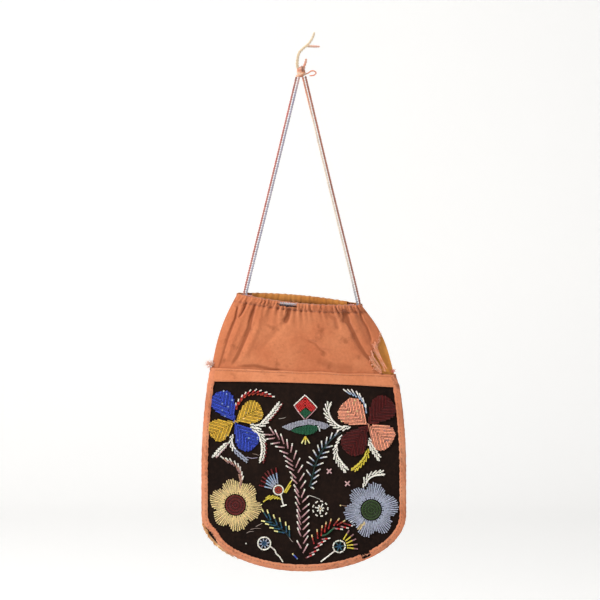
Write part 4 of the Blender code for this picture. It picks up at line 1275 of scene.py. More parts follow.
# %% Right flower
RIGHT_FOOT = (57.5, -36.2)
petal("peach_petal_upper", "peach_beads", RIGHT_FOOT, 141.5, 29.0, 24.0, "peach", 40, "cream")
petal("maroon_petal_upper", "maroon_beads", RIGHT_FOOT, 47.5, 29.5, 23.0, "maroon", 44)
petal("peach_petal_lower", "peach_beads", RIGHT_FOOT, 319.5, 26.5, 23.5, "peach", 36, "rose")
petal("maroon_petal_lower", "maroon_beads", RIGHT_FOOT, 233.0, 30.5, 23.0, "maroon", 44)
spray("blue_spray", "grey_blue_beads", [(56.2, -27.0), (54.9, -20.7), (52.2, -15.8), (48.6, -12.6),
      (44.1, -10.3), (39.3, -7.9)], [(35.5, -4.4), (39.4, -4.7), (42.9, -4.7), (47.2, -6.5), (50.0, -8.5),
      (52.9, -12.5), (55.3, -17.9)], 8.6, ["white", "grey_blue", "sky"], 0.2)
feather("white_spray_inner", "white_beads", [(41.8, -37.6), (34.8, -38.9), (28.0, -36.0), (23.2, -30.4),
        (21.2, -24.1), (22.9, -16.7)], ["white"] * 4, ["white"] * 4)
work = Beadwork("white_stroke")
for x, z in [(34.2, -45.2), (32.9, -48.2), (31.7, -51.3), (30.2, -54.4)]:
    work.row((x, z), math.radians(224), 5, "white")
work.make("white_beads")
feather("white_spray_drop", "white_beads", [(29.2, -56.2), (28.8, -61.6), (31.5, -68.4), (37.8, -76.7)],
        ["white"] * 4, ["white"] * 4)
feather("yellow_spray", "yellow_beads", [(57.1, -57.6), (56.3, -63.0), (52.2, -69.8), (44.6, -77.0)],
        ["yellow"] * 3, ["yellow"] * 4)
feather("white_spray_side", "white_beads", [(58.1, -48.2), (60.1, -54.0), (63.7, -60.3), (68.0, -66.4)],
        ["white"] * 3, ["white"] * 4, 20)

# %% Stems
MAIN_SPINE = [(-1.1, -151.8), (-2.0, -135.0), (-2.5, -118.8), (-3.0, -102.6), (-5.2, -86.4), (-9.7, -68.4),
              (-16.0, -55.8), (-25.9, -45.9), (-34.9, -40.1)]
MAIN_TIPS = [(-30.5, -38.2), (-25.6, -41.0), (-20.5, -44.5), (-15.1, -49.5), (-10.3, -53.1), (-6.7, -59.4),
             (-3.6, -66.2), (-1.2, -72.4), (0.2, -79.7), (1.5, -86.4), (0.8, -94.0), (4.1, -99.9), (4.7, -106.8),
             (4.5, -112.5), (4.6, -118.4), (4.4, -124.2), (4.7, -130.5), (3.6, -135.9), (3.6, -143.1),
             (-36.7, -44.7), (-33.6, -49.1), (-29.2, -53.1), (-25.0, -55.5), (-21.2, -59.4), (-17.6, -63.9),
             (-16.0, -68.4), (-15.5, -72.9), (-12.2, -78.3), (-11.5, -83.2), (-8.6, -90.1), (-8.1, -94.1),
             (-7.2, -100.4), (-7.2, -105.9), (-6.0, -112.2), (-6.0, -117.1), (-5.8, -122.9), (-5.5, -128.5),
             (-6.0, -140.0)]
spray("main_stem", "pink_beads", MAIN_SPINE, MAIN_TIPS, 9.6, ["white", "pink", "rose", "mauve"], 0.7)

RIGHT_SPINE = [(5.1, -90.9), (7.6, -82.8), (9.7, -73.8), (13.3, -64.8), (18.2, -56.7), (24.9, -49.1),
               (32.6, -43.2)]
work = Beadwork("right_branch")
arms(work, RIGHT_SPINE, [(30.9, -41.5), (25.4, -43.5), (20.8, -47.5), (15.9, -50.9), (12.5, -54.4), (8.7, -59.0),
     (5.0, -64.7), (3.0, -69.3), (2.7, -76.8)], 8.0, ["white", "pale", "grey_blue", "teal"])
arms(work, RIGHT_SPINE, [(25.4, -54.9), (22.2, -60.1), (20.2, -64.7), (17.1, -70.2), (14.5, -75.9),
     (13.1, -81.2), (11.1, -86.9), (8.7, -93.0)], 7.6, ["white", "pale", "grey_blue", "teal"])
work.line(RIGHT_SPINE, "dark_teal")
work.make("teal_beads")

LOWER_LEFT_SPINE = [(-12.6, -136.8), (-17.4, -131.4), (-23.7, -126.5), (-32.2, -120.2)]
work = Beadwork("lower_left_branch")
arms(work, LOWER_LEFT_SPINE, [(-37.6, -111.6), (-32.6, -112.5), (-27.1, -117.0), (-21.7, -119.7),
     (-16.3, -123.3), (-13.3, -126.9)], 10.4, ["lemon", "teal", "deep_blue"])
arms(work, LOWER_LEFT_SPINE, [(-37.6, -122.1), (-34.0, -124.7), (-30.0, -128.2), (-26.1, -131.1)], 10.4,
     ["lemon", "teal", "deep_blue"])
work.line(LOWER_LEFT_SPINE, "dark_teal")
work.make("teal_beads")

LOWER_RIGHT_SPINE = [(-0.3, -157.1), (6.5, -149.0), (13.7, -138.6), (21.3, -130.5), (29.0, -126.5),
                     (37.1, -125.5)]
work = Beadwork("lower_right_branch")
arms(work, LOWER_RIGHT_SPINE, [(7.2, -135.0), (11.9, -130.1), (16.4, -126.5), (20.0, -123.3), (24.5, -120.6),
     (31.5, -120.1), (36.6, -121.9)], 9.8, ["cream", "rust", "dark_red", "red"])
arms(work, LOWER_RIGHT_SPINE, [(9.0, -152.1), (13.1, -148.1), (16.0, -143.1), (19.1, -140.0), (23.2, -137.7),
     (34.4, -129.6), (39.8, -128.7)], 9.8, ["white", "red", "rose", "dark_red"])
work.row((43.7, -126.7), math.radians(163), 7, ["white", "red", "red", "dark_red"])
work.line([(16.8, -135.2), (20.4, -134.1), (24.0, -131.0), (27.2, -128.2)], "green", 1.15)
work.make("red_beads")

# %% Rosettes
CREAM_FOOT, BLUE_FOOT = (-61.3, -108.0), (60.4, -112.4)
rosette("cream_rosette", "cream_beads", CREAM_FOOT, (101, 48, -13, -87, -134, 162), 23.6, "cream")
rosette_eye("cream_rosette_eye", "maroon_beads", CREAM_FOOT, ["eye_maroon", "eye_shade"])
CREAM_SPOTS = [(49.3, -129.0), (50.9, -127.4), (52.4, -125.9), (53.8, -124.6)]
rosette("blue_rosette", "grey_blue_beads", BLUE_FOOT, (82, 11, -55, -102, 188, 131), 24.5, "grey_blue",
        [(spot, 1.5, "cream") for spot in CREAM_SPOTS] + [((41.6, -122.9), 1.6, "pale")])
rosette_eye("blue_rosette_eye", "dark_green_beads", BLUE_FOOT, ["eye_green", "leaf_shade"])
feather("rosette_spray", "white_beads", [(53.8, -92.5), (55.3, -87.3), (58.9, -83.0), (64.1, -80.6),
        (70.9, -79.4)], ["white"] * 4, ["white"] * 4, 20)

# %% [markdown]
# ## Small motifs
# The bud in the middle, the thistle, the round buds and the crosses are built from the same
# few stitches: an outline filled with parallel rows, a ring of beads that lie end to end,
# and rays that run in to a ring from their light tips.


# %% Fills
def fill(work, outline, heading, colour):
    """Parallel rows at the heading, in degrees, inside a closed outline."""
    turn = math.radians(heading)
    along = np.array([math.cos(turn), math.sin(turn)])
    across = np.array([-along[1], along[0]])
    corners = np.array(outline)
    levels = corners @ across
    rows = max(1, round((levels.max() - levels.min()) / ROW_PITCH))
    for level in levels.min() + (np.arange(rows) + 0.5) * (levels.max() - levels.min()) / rows:
        ends = []
        for a, b in zip(corners, np.roll(corners, -1, axis=0)):
            low, high = a @ across - level, b @ across - level
            if low * high < 0.0:
                ends.append((a + (b - a) * low / (low - high)) @ along)
        ends.sort()
        for start, end in zip(ends[::2], ends[1::2]):
            count = max(1, round((end - start) / BEAD_PITCH))
            for i in range(count):
                reach = (start + end) / 2 + (i - (count - 1) / 2) * BEAD_PITCH
                x, z = along * reach + across * level
                work.bead(x, z, turn, colour)


# %% Stars and rays
def star(work, foot, count, first, radius, beads, colours, size=1.0):
    """Short rows that run out from a circle round the foot; beads in each row, in turn."""
    for i in range(count):
        turn = math.radians(first) + 2 * math.pi * i / count
        work.row(polar(foot, radius, turn), turn, beads[i % len(beads)], colours, size=size)


def straight_ring(work, foot, count, first, radius, beads, half, colour):
    """A ring of short straight rows, each reaching half to both sides of its middle."""
    for i in range(count):
        turn = math.radians(first) + 2 * math.pi * i / count
        heading = turn + math.pi / 2
        work.row(polar(polar(foot, radius, turn), -half, heading), heading, beads, colour)


def rays(work, foot, tips, colours, clear):
    """Rows from the tips in to a ring round the foot; colours run from the tip inwards."""
    for tip in tips:
        back = np.array(foot) - np.array(tip)
        count = max(2, int((np.hypot(*back) - clear) / BEAD_PITCH))
        shades = [colours[int(k * len(colours) / count)] for k in range(count)]
        work.row(tip, math.atan2(back[1], back[0]), count, shades)


# %% Bud in the middle
work = Beadwork("bud_red")
fill(work, [(-7.6, -19.1), (1.1, -11.2), (1.1, -20.3), (-4.1, -25.0)], 121, "red")
fill(work, [(1.3, -11.2), (10.8, -20.5), (7.3, -24.5), (1.3, -20.3)], 59, "red")
work.line([(-8.5, -18.7), (-3.8, -14.0), (0.9, -9.7)], "white", 0.85)
work.line([(1.8, -10.1), (6.7, -14.9), (11.7, -20.3)], "white", 0.85)
work.make("red_beads")
work = Beadwork("bud_green")
fill(work, [(1.2, -20.9), (7.0, -25.0), (1.1, -30.4), (-3.8, -25.4)], 90, "green")
work.line([(11.3, -21.2), (7.4, -25.6), (2.0, -30.8)], "rose", 0.75)
work.line([(-8.1, -19.8), (-4.1, -25.4), (0.4, -30.8)], "pink", 0.75)
work.make("emerald_beads")
work = Beadwork("grey_leaf")
fill(work, [(-19.3, -37.9), (-12.8, -35.1), (-4.2, -32.3), (0.6, -31.7), (5.1, -30.7), (13.1, -33.0),
     (16.5, -33.8), (21.0, -35.1), (23.0, -37.2), (19.3, -40.1), (15.1, -39.1), (13.1, -36.5), (9.5, -36.4),
     (4.8, -35.7), (-0.7, -36.7), (-4.2, -37.4), (-7.7, -38.4), (-12.2, -41.0), (-13.9, -40.5)], 90, "lilac")
work.make("lilac_beads")
work = Beadwork("green_leaf")
fill(work, [(-11.4, -41.2), (-6.6, -38.9), (-0.7, -37.3), (4.7, -36.3), (11.3, -36.8), (13.3, -40.1),
     (9.5, -43.5), (2.7, -45.0), (-4.2, -44.1), (-8.4, -42.8)], 90, "green")
work.line([(12.8, -37.6), (13.9, -39.4), (14.2, -41.4)], "pale")
work.make("emerald_beads")
work = Beadwork("yellow_sepals")
SEPAL_FOOT = (1.5, -46.4)
for x, z in [(-2.2, -52.9), (1.4, -53.6), (5.5, -53.1)]:
    heading = math.atan2(z - SEPAL_FOOT[1], x - SEPAL_FOOT[0])
    work.row(SEPAL_FOOT, heading, 6, ["gold", "yellow", "yellow", "lemon"])
work.make("yellow_beads")

# %% Thistle
THISTLE = (-22.7, -94.4)
work = Beadwork("thistle_ring")
ring(work, THISTLE, 4.3, "white")
work.line([(-20.3, -99.4), (-19.4, -103.5), (-18.4, -107.3)], "white")
work.line([(-20.0, -108.9), (-17.8, -108.4), (-15.8, -107.8)], "white")
work.make("white_beads")
work = Beadwork("thistle_ring_core")
work.bead(*THISTLE, 0.4, "rust", 1.05)
ring(work, THISTLE, 1.5, "dark_red", 7)
ring(work, THISTLE, 2.7, "rust", 12, 0.95)
work.make("red_beads")
work = Beadwork("thistle_rays")
rays(work, THISTLE, [(-40.1, -90.2), (-38.3, -85.9), (-37.2, -82.4), (-34.9, -79.2), (-32.6, -77.2),
     (-29.2, -75.7), (-25.0, -74.2)], ["dark_red", "sky", "grey_blue"], 5.2)
work.make("grey_blue_beads")
work = Beadwork("thistle_leaf_left")
fill(work, [(-20.0, -102.8), (-24.1, -102.6), (-28.6, -102.4), (-32.6, -104.0), (-38.2, -107.8), (-35.6, -103.3),
     (-32.2, -99.7), (-27.7, -98.8), (-23.2, -100.4)], 32, "yellow")
work.row((-37.4, -107.1), math.radians(212), 2, "lemon", size=0.8)
work.make("yellow_beads")
work = Beadwork("thistle_leaf_right")
fill(work, [(-18.2, -98.3), (-16.7, -93.8), (-14.2, -89.6), (-11.2, -86.4), (-11.9, -91.4), (-14.4, -95.8)], 58,
     "yellow")
work.row((-11.3, -86.9), math.radians(62), 2, "lemon", size=0.8)
work.make("yellow_beads")

# %% Round buds
LEFT_BUD, RIGHT_BUD, ROUNDEL = [(-35.4, -142.4), (31.7, -145.2), (14.8, -111.1)]
work = Beadwork("left_bud")
ring(work, LEFT_BUD, 5.7, "white")
work.line([(-30.2, -144.9), (-25.8, -148.7), (-24.8, -151.6), (-21.9, -154.3), (-19.0, -158.9)], "white")
work.make("white_beads")
work = Beadwork("left_bud_core")
work.bead(*LEFT_BUD, 0.0, "deep_blue")
star(work, LEFT_BUD, 8, 12, 1.1, (3,), ["deep_blue", "grey_blue", "grey_blue"], 0.95)
work.make("grey_blue_beads")
work = Beadwork("right_bud")
straight_ring(work, RIGHT_BUD, 8, 22, 5.3, 3, 1.85, "white")
work.line([(27.2, -149.6), (21.8, -153.9), (15.7, -158.8)], "white")
work.make("white_beads")
work = Beadwork("right_bud_core")
work.bead(*RIGHT_BUD, 0.0, "deep_blue")
star(work, RIGHT_BUD, 6, 8, 1.0, (3,), ["deep_blue", "teal", "teal"], 0.95)
work.make("teal_beads")
work = Beadwork("right_bud_rays")
rays(work, RIGHT_BUD, [(40.5, -130.5), (44.6, -134.0), (46.8, -138.4), (48.2, -143.2), (48.5, -147.6)], ["mauve",
     "yellow", "yellow"], 6.4)
work.make("yellow_beads")

# %% Roundel and crosses
work = Beadwork("star_roundel")
work.bead(*ROUNDEL, 0.0, "cream")
star(work, ROUNDEL, 7, math.degrees(0.2), 1.2, (2, 3), "white")
straight_ring(work, ROUNDEL, 9, 0, 6.75, 2, 1.22, "white")
work.make("white_beads")
for name, foot in (("upper_cross", (22.8, -77.6)), ("lower_cross", (39.1, -88.7))):
    work = Beadwork(name)
    star(work, foot, 4, 49, 0.5, (2,), "pink")
    work.bead(*foot, 0.8, "pink", 1.0, 0.35)
    work.make("pink_beads")

# %% [markdown]
# ## Wool cords
# A knitting yarn is two plies twisted round each other. Each ply is a tube that follows a
# helix round the cord's middle line, and short stray fibres stand off it. The drawstrings
# change their dye along their length, so the colour is painted on the points.


# %% A tube round a line
def tube(line, radius, sides, first, second):
    """Points and triangles of a tube round a line of points; radius may change along it."""
    turn = 2 * np.pi * np.arange(sides) / sides
    ring_points = (line[:, None] + radius[:, None, None] * (
        np.cos(turn)[None, :, None] * first[:, None] + np.sin(turn)[None, :, None] * second[:, None]))
    base = (np.arange(len(line) - 1) * sides)[:, None]
    start = base + np.arange(sides)[None]
    after = base + (np.arange(sides)[None] + 1) % sides
    faces = np.stack([start, start + sides, after, after, start + sides, after + sides], axis=2)
    return ring_points.reshape(-1, 3), faces.reshape(-1, 3)


# %% A yarn along a route
PLIES = 2
PLY_SIDES = 7
YARN_STEP = 0.45        # distance between the points along a yarn
HAIR = 0.035            # half the width of a stray fibre at its root
HAIR_REACH = 1.6        # no fibre stands off the yarn further than this


def yarn(name, route, dye, width=2.2, twist=4.4, hairs=0, taper=0.0):
    """A wool cord; dye is a list of (share of the length, colour), twist the length of a turn."""
    line = even_route(route, YARN_STEP)
    draw = np.random.default_rng(len(name) * 101 + len(line))
    along = np.gradient(line, axis=0)
    along /= np.linalg.norm(along, axis=1)[:, None]
    first = np.cross(along, (0.0, 1.0, 0.0))
    first /= np.linalg.norm(first, axis=1)[:, None]
    second = np.cross(along, first)
    share = np.linspace(0.0, 1.0, len(line))
    ends = np.minimum(share, 1.0 - share) * (len(line) - 1) * YARN_STEP
    thin = np.clip(ends / 0.8 + 0.1, 0.1, 1.0) ** 0.6
    thin = thin * (1.0 - taper * share)
    swell = 1.0 + 0.07 * waves(share * len(line) * YARN_STEP, len(line), 6, 0.5, 2.2)
    ply_radius = width / 4
    stops, dyes = [d[0] for d in dye], np.array([linear(*d[1])[:3] for d in dye])
    base = np.stack([np.interp(share, stops, dyes[:, k]) for k in range(3)], axis=1)
    points, faces, colours = [], [], []
    for ply in range(PLIES):
        phase = 2 * np.pi * (share * (len(line) - 1) * YARN_STEP / twist + ply / PLIES)
        out = np.cos(phase)[:, None] * first + np.sin(phase)[:, None] * second
        radius = ply_radius * thin * swell
        new, made = tube(line + out * radius[:, None], radius, PLY_SIDES, first, second)
        faces.append(made + sum(len(p) for p in points))
        points.append(new)
        shade = base * (1.0 + 0.12 * waves(share * 90.0, 7 + ply, 6, 0.5, 9.0))[:, None]
        shade = np.repeat(shade, PLY_SIDES, axis=0)
        colours.append(shade * draw.normal(1.0, 0.10, (len(new), 1)))
    for _ in range(hairs):
        i = draw.integers(2, len(line) - 6)
        turn = draw.uniform(0.0, 2 * np.pi)
        out = math.cos(turn) * first[i] + math.sin(turn) * second[i]
        wide = np.cross(out, along[i]) * HAIR
        way = along[i] * draw.choice((-1.0, 1.0)) + 0.5 * draw.normal(0.0, 1.0, 3)
        reach = draw.uniform(0.8, 2.2)
        root = line[i] + out * width * 0.40 * thin[i]
        middle = root + (way * 0.5 + out * 0.45) * reach * 0.5
        tip = root + (way * 0.8 + out * 0.35) * reach
        far = tip - line[i]
        tip = line[i] + far * min(1.0, (width / 2 + HAIR_REACH) / float(np.linalg.norm(far)))
        count = sum(len(p) for p in points)
        points.append(np.array([root - wide, root + wide, middle - wide, middle + wide, tip]))
        faces.append(np.array([(0, 1, 2), (2, 1, 3), (2, 3, 4)]) + count)
        colours.append(np.repeat((base[i] * draw.uniform(0.9, 1.3))[None], 5, axis=0))
    piece = mesh_piece(name, np.vstack(points), np.vstack(faces), WOOL)
    paint_points(piece, to_share(np.vstack(colours)))
    return piece


def length_of(route):
    """Length of a route, in metres."""
    return float(np.linalg.norm(np.diff(even_route(route, 1.0), axis=0), axis=1).sum()) * MM


# %% Wool material
WOOL, recipe, shader = new_material("dyed_wool", Roughness=0.95, Sheen_Weight=0.35, Sheen_Roughness=0.5)
shader.inputs["Specular IOR Level"].default_value = 0.15
place = recipe.add("ShaderNodeTexCoord").outputs["Object"]
dyed = recipe.add("ShaderNodeAttribute", attribute_name="paint").outputs["Color"]
patchy = recipe.ramp(recipe.noise(place, 300.0, 3.0, 0.6), 0.35, 0.7)
faded = recipe.mix(recipe.math("MULTIPLY", patchy, 0.25), dyed, linear(235, 220, 205))
recipe.wire(faded, shader.inputs["Base Color"])
recipe.wire(recipe.bump(recipe.noise(place, 1900.0, 2.0, 0.6), 0.0004, 0.8), shader.inputs["Normal"])

# %% Drawstrings
YARN = 2.2         # width of a drawstring
STRAND = 1.25      # each runs this far beside the middle of the pair


def channel_place(s, face, side, lift):
    """A place of the cord inside the casing."""
    radius = COTTON + CHANNEL / 2
    v = radius + YARN / 2 - YOKE_HEIGHT
    x, z = plan(s, v, lift)
    return float(x), float(side * (face(s, v) - radius)), float(z)


def behind_wall(x, z, face, side):
    """A place of the cord just inside the cloth, near an end of the casing."""
    s, v = locate(x + math.copysign(YARN, x), z)
    return x, float(side * (face(s, v) - COTTON - YARN / 2 - 2 * GAP)), z


def drawstring(name, slot, face, side, lift, strand, dye):
    """One closed loop: from the knot down to the casing, through it, and up again."""
    knot_left = (-4.1 - strand, side * 0.4, -12.6 + 0.2 * strand)
    knot_right = (1.2 + strand, side * 0.4, -12.6 + 0.2 * strand)
    left_leg = [knot_left, (-27.5 - strand, side * 1.2, -109.0), (-51.0 - strand, side * 2.4, -205.0)]
    right_leg = [(49.6 + strand, side * 1.6, -214.0), (25.6 + strand, side * 1.2, -115.0), knot_right]
    reach = HEM_END - 0.02
    inside = [channel_place(-reach + 2 * reach * i / 8, face, side, lift) for i in range(9)]
    left_turn = [behind_wall(-50.0 - 0.7 * strand, inside[0][2] + 2.6, face, side)]
    right_turn = [behind_wall(44.5, inside[-1][2] - 0.8, face, side),
                  behind_wall(48.6, inside[-1][2] + 0.8, face, side)]
    route = even_route(left_leg + left_turn + inside + right_turn + right_leg, 1.0, 75)
    piece = yarn(name, route, dye, YARN, hairs=900)
    finish_piece(piece, slot, name.replace("_yarn", ""))
    print(name, round(length_of(route) * 1000), "mm")


drawstring("drawstring_front_yarn", "grey_wool", yoke_face, -1, -FRONT_SAG, -STRAND,
           [(0.0, (196, 150, 140)), (0.03, (150, 146, 168)), (0.36, (162, 160, 178)), (0.60, (160, 164, 180)),
            (0.66, (226, 214, 200)), (0.92, (230, 212, 196)), (0.96, (216, 150, 118)), (1.0, (190, 110, 80))])
drawstring("drawstring_back_yarn", "red_wool", back_face, 1, BACK_RISE, STRAND,
           [(0.0, (150, 90, 80)), (0.05, (196, 112, 104)), (0.36, (200, 120, 110)), (0.64, (196, 120, 104)),
            (0.9, (190, 112, 88)), (1.0, (160, 84, 62))])

# The casing is worn through at the left, where a bight of the front cord comes out.
bight = []
for x, sunk in ((-23.8, 2.2), (-21.3, 0.9), (-17.3, -0.5), (-12.8, -0.8), (-8.3, -0.5), (-5.3, 0.9), (-3.1, 2.2)):
    s, v = locate(np.array(x), np.array(-217.0))
    bight.append((x, -float(yoke_face(s, v)) - 2.6 + 1.5 * sunk, -216.5 - 0.10 * (x + 23.8)))
bight = yarn("drawstring_bight", bight,
             [(0.0, (140, 136, 142)), (0.5, (164, 160, 170)), (1.0, (176, 150, 150))], 2.3, hairs=90)
finish_piece(bight, "grey_wool")

# %% Knot and tails
TAN, PINK, SALMON_DYE, SHADE_BROWN = (214, 192, 160), (214, 160, 140), (222, 140, 100), (120, 74, 50)
KNOT = np.array([-1.5, 0.0, -8.9])
knot_route = []
for i in range(64):
    turn = 2 * math.pi * i / 21
    knot_route.append((KNOT[0] + 3.3 * math.cos(turn) * (1.0 - 0.12 * math.sin(turn * 0.5)),
                       2.7 * math.sin(turn), KNOT[2] + 3.3 * math.cos(turn * 0.33 + 0.4) + 1.1 * math.sin(turn + 0.6)))
finish_piece(yarn("knot_wraps", knot_route, [(0.0, PINK), (0.3, TAN), (0.7, SALMON_DYE), (1.0, PINK)],
                  2.3, hairs=60), "tan_wool", "hanging_knot")
start_clean()
bpy.ops.mesh.primitive_uv_sphere_add(segments=24, ring_count=14, radius=1.0)
knot_heart = bpy.context.object
knot_heart.name = "knot_heart"
heart_size = Matrix.Diagonal((3.6 * MM, 2.5 * MM, 4.9 * MM, 1.0))
knot_heart.data.transform(Matrix.Translation(Vector(KNOT * MM)) @ heart_size)
knot_heart.data.shade_smooth()
knot_heart.data.materials.append(WOOL)
paint_points(knot_heart, np.tile(linear(196, 128, 98)[:3], (len(knot_heart.data.vertices), 1)))
finish_piece(knot_heart, "tan_wool")

long_route = [(-4.2, 0.0, -6.4), (-4.8, 0.0, -3.4), (-4.7, 0.0, 1.5), (-3.3, 0.0, 8.0), (0.2, 0.0, 12.0),
              (5.4, 0.0, 16.5), (9.0, 0.0, 22.0), (10.6, 0.0, 27.0)]
TAIL_WIDTH = 3.4
tail = yarn("tail_long_yarn", long_route, [(0.0, TAN), (1.0, (222, 202, 172))], TAIL_WIDTH,
            twist=5.2, hairs=90, taper=0.25)
finish_piece(tail, "tan_wool", "tail_long")
finish_piece(yarn("tail_stub_yarn", [(0.0, -0.2, -6.4), (2.4, -0.6, -1.2), (3.2, -0.8, 3.0)],
                  [(0.0, SALMON_DYE), (1.0, PINK)], 2.7, hairs=30), "tan_wool", "tail_stub")
curl = yarn("tail_curl_yarn", [(0.9, -0.6, -11.6), (4.5, -0.8, -10.3), (8.6, -0.9, -8.0), (12.0, -0.9, -9.6),
                               (10.2, -1.0, -12.0), (6.0, -1.0, -12.6)],
            [(0.0, SALMON_DYE), (1.0, (214, 120, 84))], 1.5, twist=3.0, hairs=40)
finish_piece(curl, "tan_wool", "tail_curl")
tuft = yarn("side_tuft", [(3.4, -0.2, 14.6), (8.5, -0.6, 14.0), (15.6, -0.8, 13.7)],
            [(0.0, TAN), (0.5, PINK), (1.0, PINK)], 3.2, hairs=90, taper=0.4)
finish_piece(tuft, "tan_wool")
# This strand lies in shadow; its dark brown is painted shade.
finish_piece(yarn("shadowed_strand", [(-0.8, -2.2, -3.4), (-0.5, -3.6, -5.6), (0.2, -3.9, -9.5)],
                  [(0.0, SHADE_BROWN), (1.0, SHADE_BROWN)], 1.3, twist=3.0), "tan_wool")

# %% [markdown]
# ## Stitches, loose threads and frays
# A long-used pouch has raw edges. Threads stand out of the torn yoke, a tuft hangs at its
# left seam, and the ochre cloth frays under the binding at the lower left. Each is a thin
# tube that is laid on the cloth by shooting a ray at it from the front. The seams get
# their stitches in the same way.


# %% Threads on a cloth
NO_CLOTH = -6.0        # how far forward a thread lies where it is beside the cloth


def front_of(piece):
    """A function that gives how far forward a cloth lies at a place, in millimetres."""
    mesh = piece.data
    tree = BVHTree.FromPolygons([v.co for v in mesh.vertices], [p.vertices[:] for p in mesh.polygons])

    def forward(x, z):
        hit = tree.ray_cast(Vector((x * MM, -0.05, z * MM)), Vector((0.0, 1.0, 0.0)))[0]
        return hit.y / MM if hit else NO_CLOTH
    return forward


# %% Many threads in one piece
def thread_piece(name, slot, strands):
    """One piece of many threads; strands are (points in millimetres, radius, colour)."""
    points, faces, colours = [], [], []
    draw = np.random.default_rng(len(strands) * 13 + len(name))
    for route, radius, colour in strands:
        line = even_route(route, max(0.35, radius * 2.5)) if len(route) > 2 else np.array(route, float)
        along = np.gradient(line, axis=0)
        along /= np.linalg.norm(along, axis=1)[:, None] + 1e-9
        first = np.cross(along, (0.0, 1.0, 0.02))
        first /= np.linalg.norm(first, axis=1)[:, None] + 1e-9
        thin = radius * np.clip(1.15 - 0.5 * np.linspace(0.0, 1.0, len(line)), 0.3, 1.0)
        new, made = tube(line, thin, 5, first, np.cross(along, first))
        faces.append(made + sum(len(p) for p in points))
        points.append(new)
        shade = np.array(linear(*colour)[:3]) * draw.normal(1.0, 0.12)
        colours.append(np.tile(to_share(shade), (len(new), 1)))
    piece = mesh_piece(name, np.vstack(points), np.vstack(faces), WOOL)
    paint_points(piece, np.vstack(colours))
    print(name, len(strands), "threads")
    return finish_piece(piece, slot)


# %% Frays and stitches
def fray(draw, count, place, way, length, spread, radius, colours, curl=0.5):
    """Threads that leave random places, which place(draw) gives.

    way is their heading in degrees and spread how far it varies; curl bends their ends.
    """
    strands = []
    for _ in range(count):
        x, y, z = place(draw)
        turn = math.radians(way + draw.gauss(0.0, spread))
        reach = length * draw.uniform(0.45, 1.2)
        bend = draw.gauss(0.0, curl)
        middle = (x + reach * 0.5 * math.cos(turn), y - draw.uniform(0.1, 0.7),
                  z + reach * 0.5 * math.sin(turn))
        end = (x + reach * math.cos(turn + bend), y - draw.uniform(0.0, 0.9),
               z + reach * math.sin(turn + bend))
        strands.append(([(x, y, z), middle, end], radius * draw.uniform(0.7, 1.2), draw.choice(colours)))
    return strands


def stitches(route, spacing, length, lift, forward, radius, colour):
    """Short stitches in a row along a line of (x, z); their middles rise by lift."""
    line = even_route(route, spacing)
    strands = []
    for middle, after in zip(line, line[1:]):
        way = (after - middle) / np.linalg.norm(after - middle) * length / 2
        places = ((middle - way, 0.2), (middle, 1.0), (middle + way, 0.2))
        strands.append(([(p[0], forward(*p) - lift * rise, p[1]) for p, rise in places], radius, colour))
    return strands


# %% Stitches
on_yoke, on_band, on_tape, on_front = front_of(yoke), front_of(band), front_of(tape), front_of(velvet)
shares = np.linspace(-0.97, 0.97, 60)
casing_line = np.stack(plan(shares, np.full(60, float(STITCH)), -FRONT_SAG), axis=1)
thread_piece("casing_stitches", "salmon_cotton",
             stitches(casing_line, 2.1, 1.1, 0.15, on_yoke, 0.15, (142, 78, 50)))
seams = []
for depth in (-9.9, -1.4):
    seam_line = np.stack(plan(shares * 0.96, np.full(60, depth)), axis=1)
    seams += stitches(seam_line, 2.4, 1.2, 0.22, on_band, 0.16, (176, 100, 62))
thread_piece("seam_stitches", "salmon_cotton", seams)
STITCH_INSET = 2.9
x, z, out_x, out_z = edge_place(np.linspace(0.03, 0.97, 160))
tape_line = np.stack([x - out_x * STITCH_INSET, z - out_z * STITCH_INSET], axis=1)
thread_piece("binding_stitches", "salmon_cotton",
             stitches(tape_line, 2.9, 1.2, 0.2, on_tape, 0.26, (116, 58, 34)))

# %% The torn yoke
draw = random.Random(3)
SALMON_THREADS = [(226, 146, 106), (214, 126, 84), (232, 164, 128), (190, 104, 66)]
OCHRE_THREADS = [(206, 140, 66), (186, 118, 48), (222, 168, 98), (232, 188, 128)]


def torn_place(draw):
    """A place on the yoke's torn edge."""
    v = draw.uniform(-TEAR_TOP + 3.0, -TEAR_BOTTOM - 3.0)
    x, z = plan(1.0 - (torn_inset(np.array(v)) + 0.3) / half_width(np.array(v)), np.array(v))
    return float(x), on_yoke(float(x) - 0.6, float(z)) - 0.1, float(z)


def round_the_hole(draw):
    return draw.uniform(-22.5, -4.5), -8.6, -217.6 + draw.choice((-1.4, 1.3)) + draw.gauss(0.0, 0.2)


def right_corner(draw):
    return draw.uniform(79.4, 81.4), -4.6, draw.uniform(-279.6, -277.4)


def left_seam(draw):
    return -81.0 + draw.gauss(0.0, 0.9), -2.6 + draw.gauss(0.0, 0.5), -271.4 + draw.gauss(0.0, 0.9)


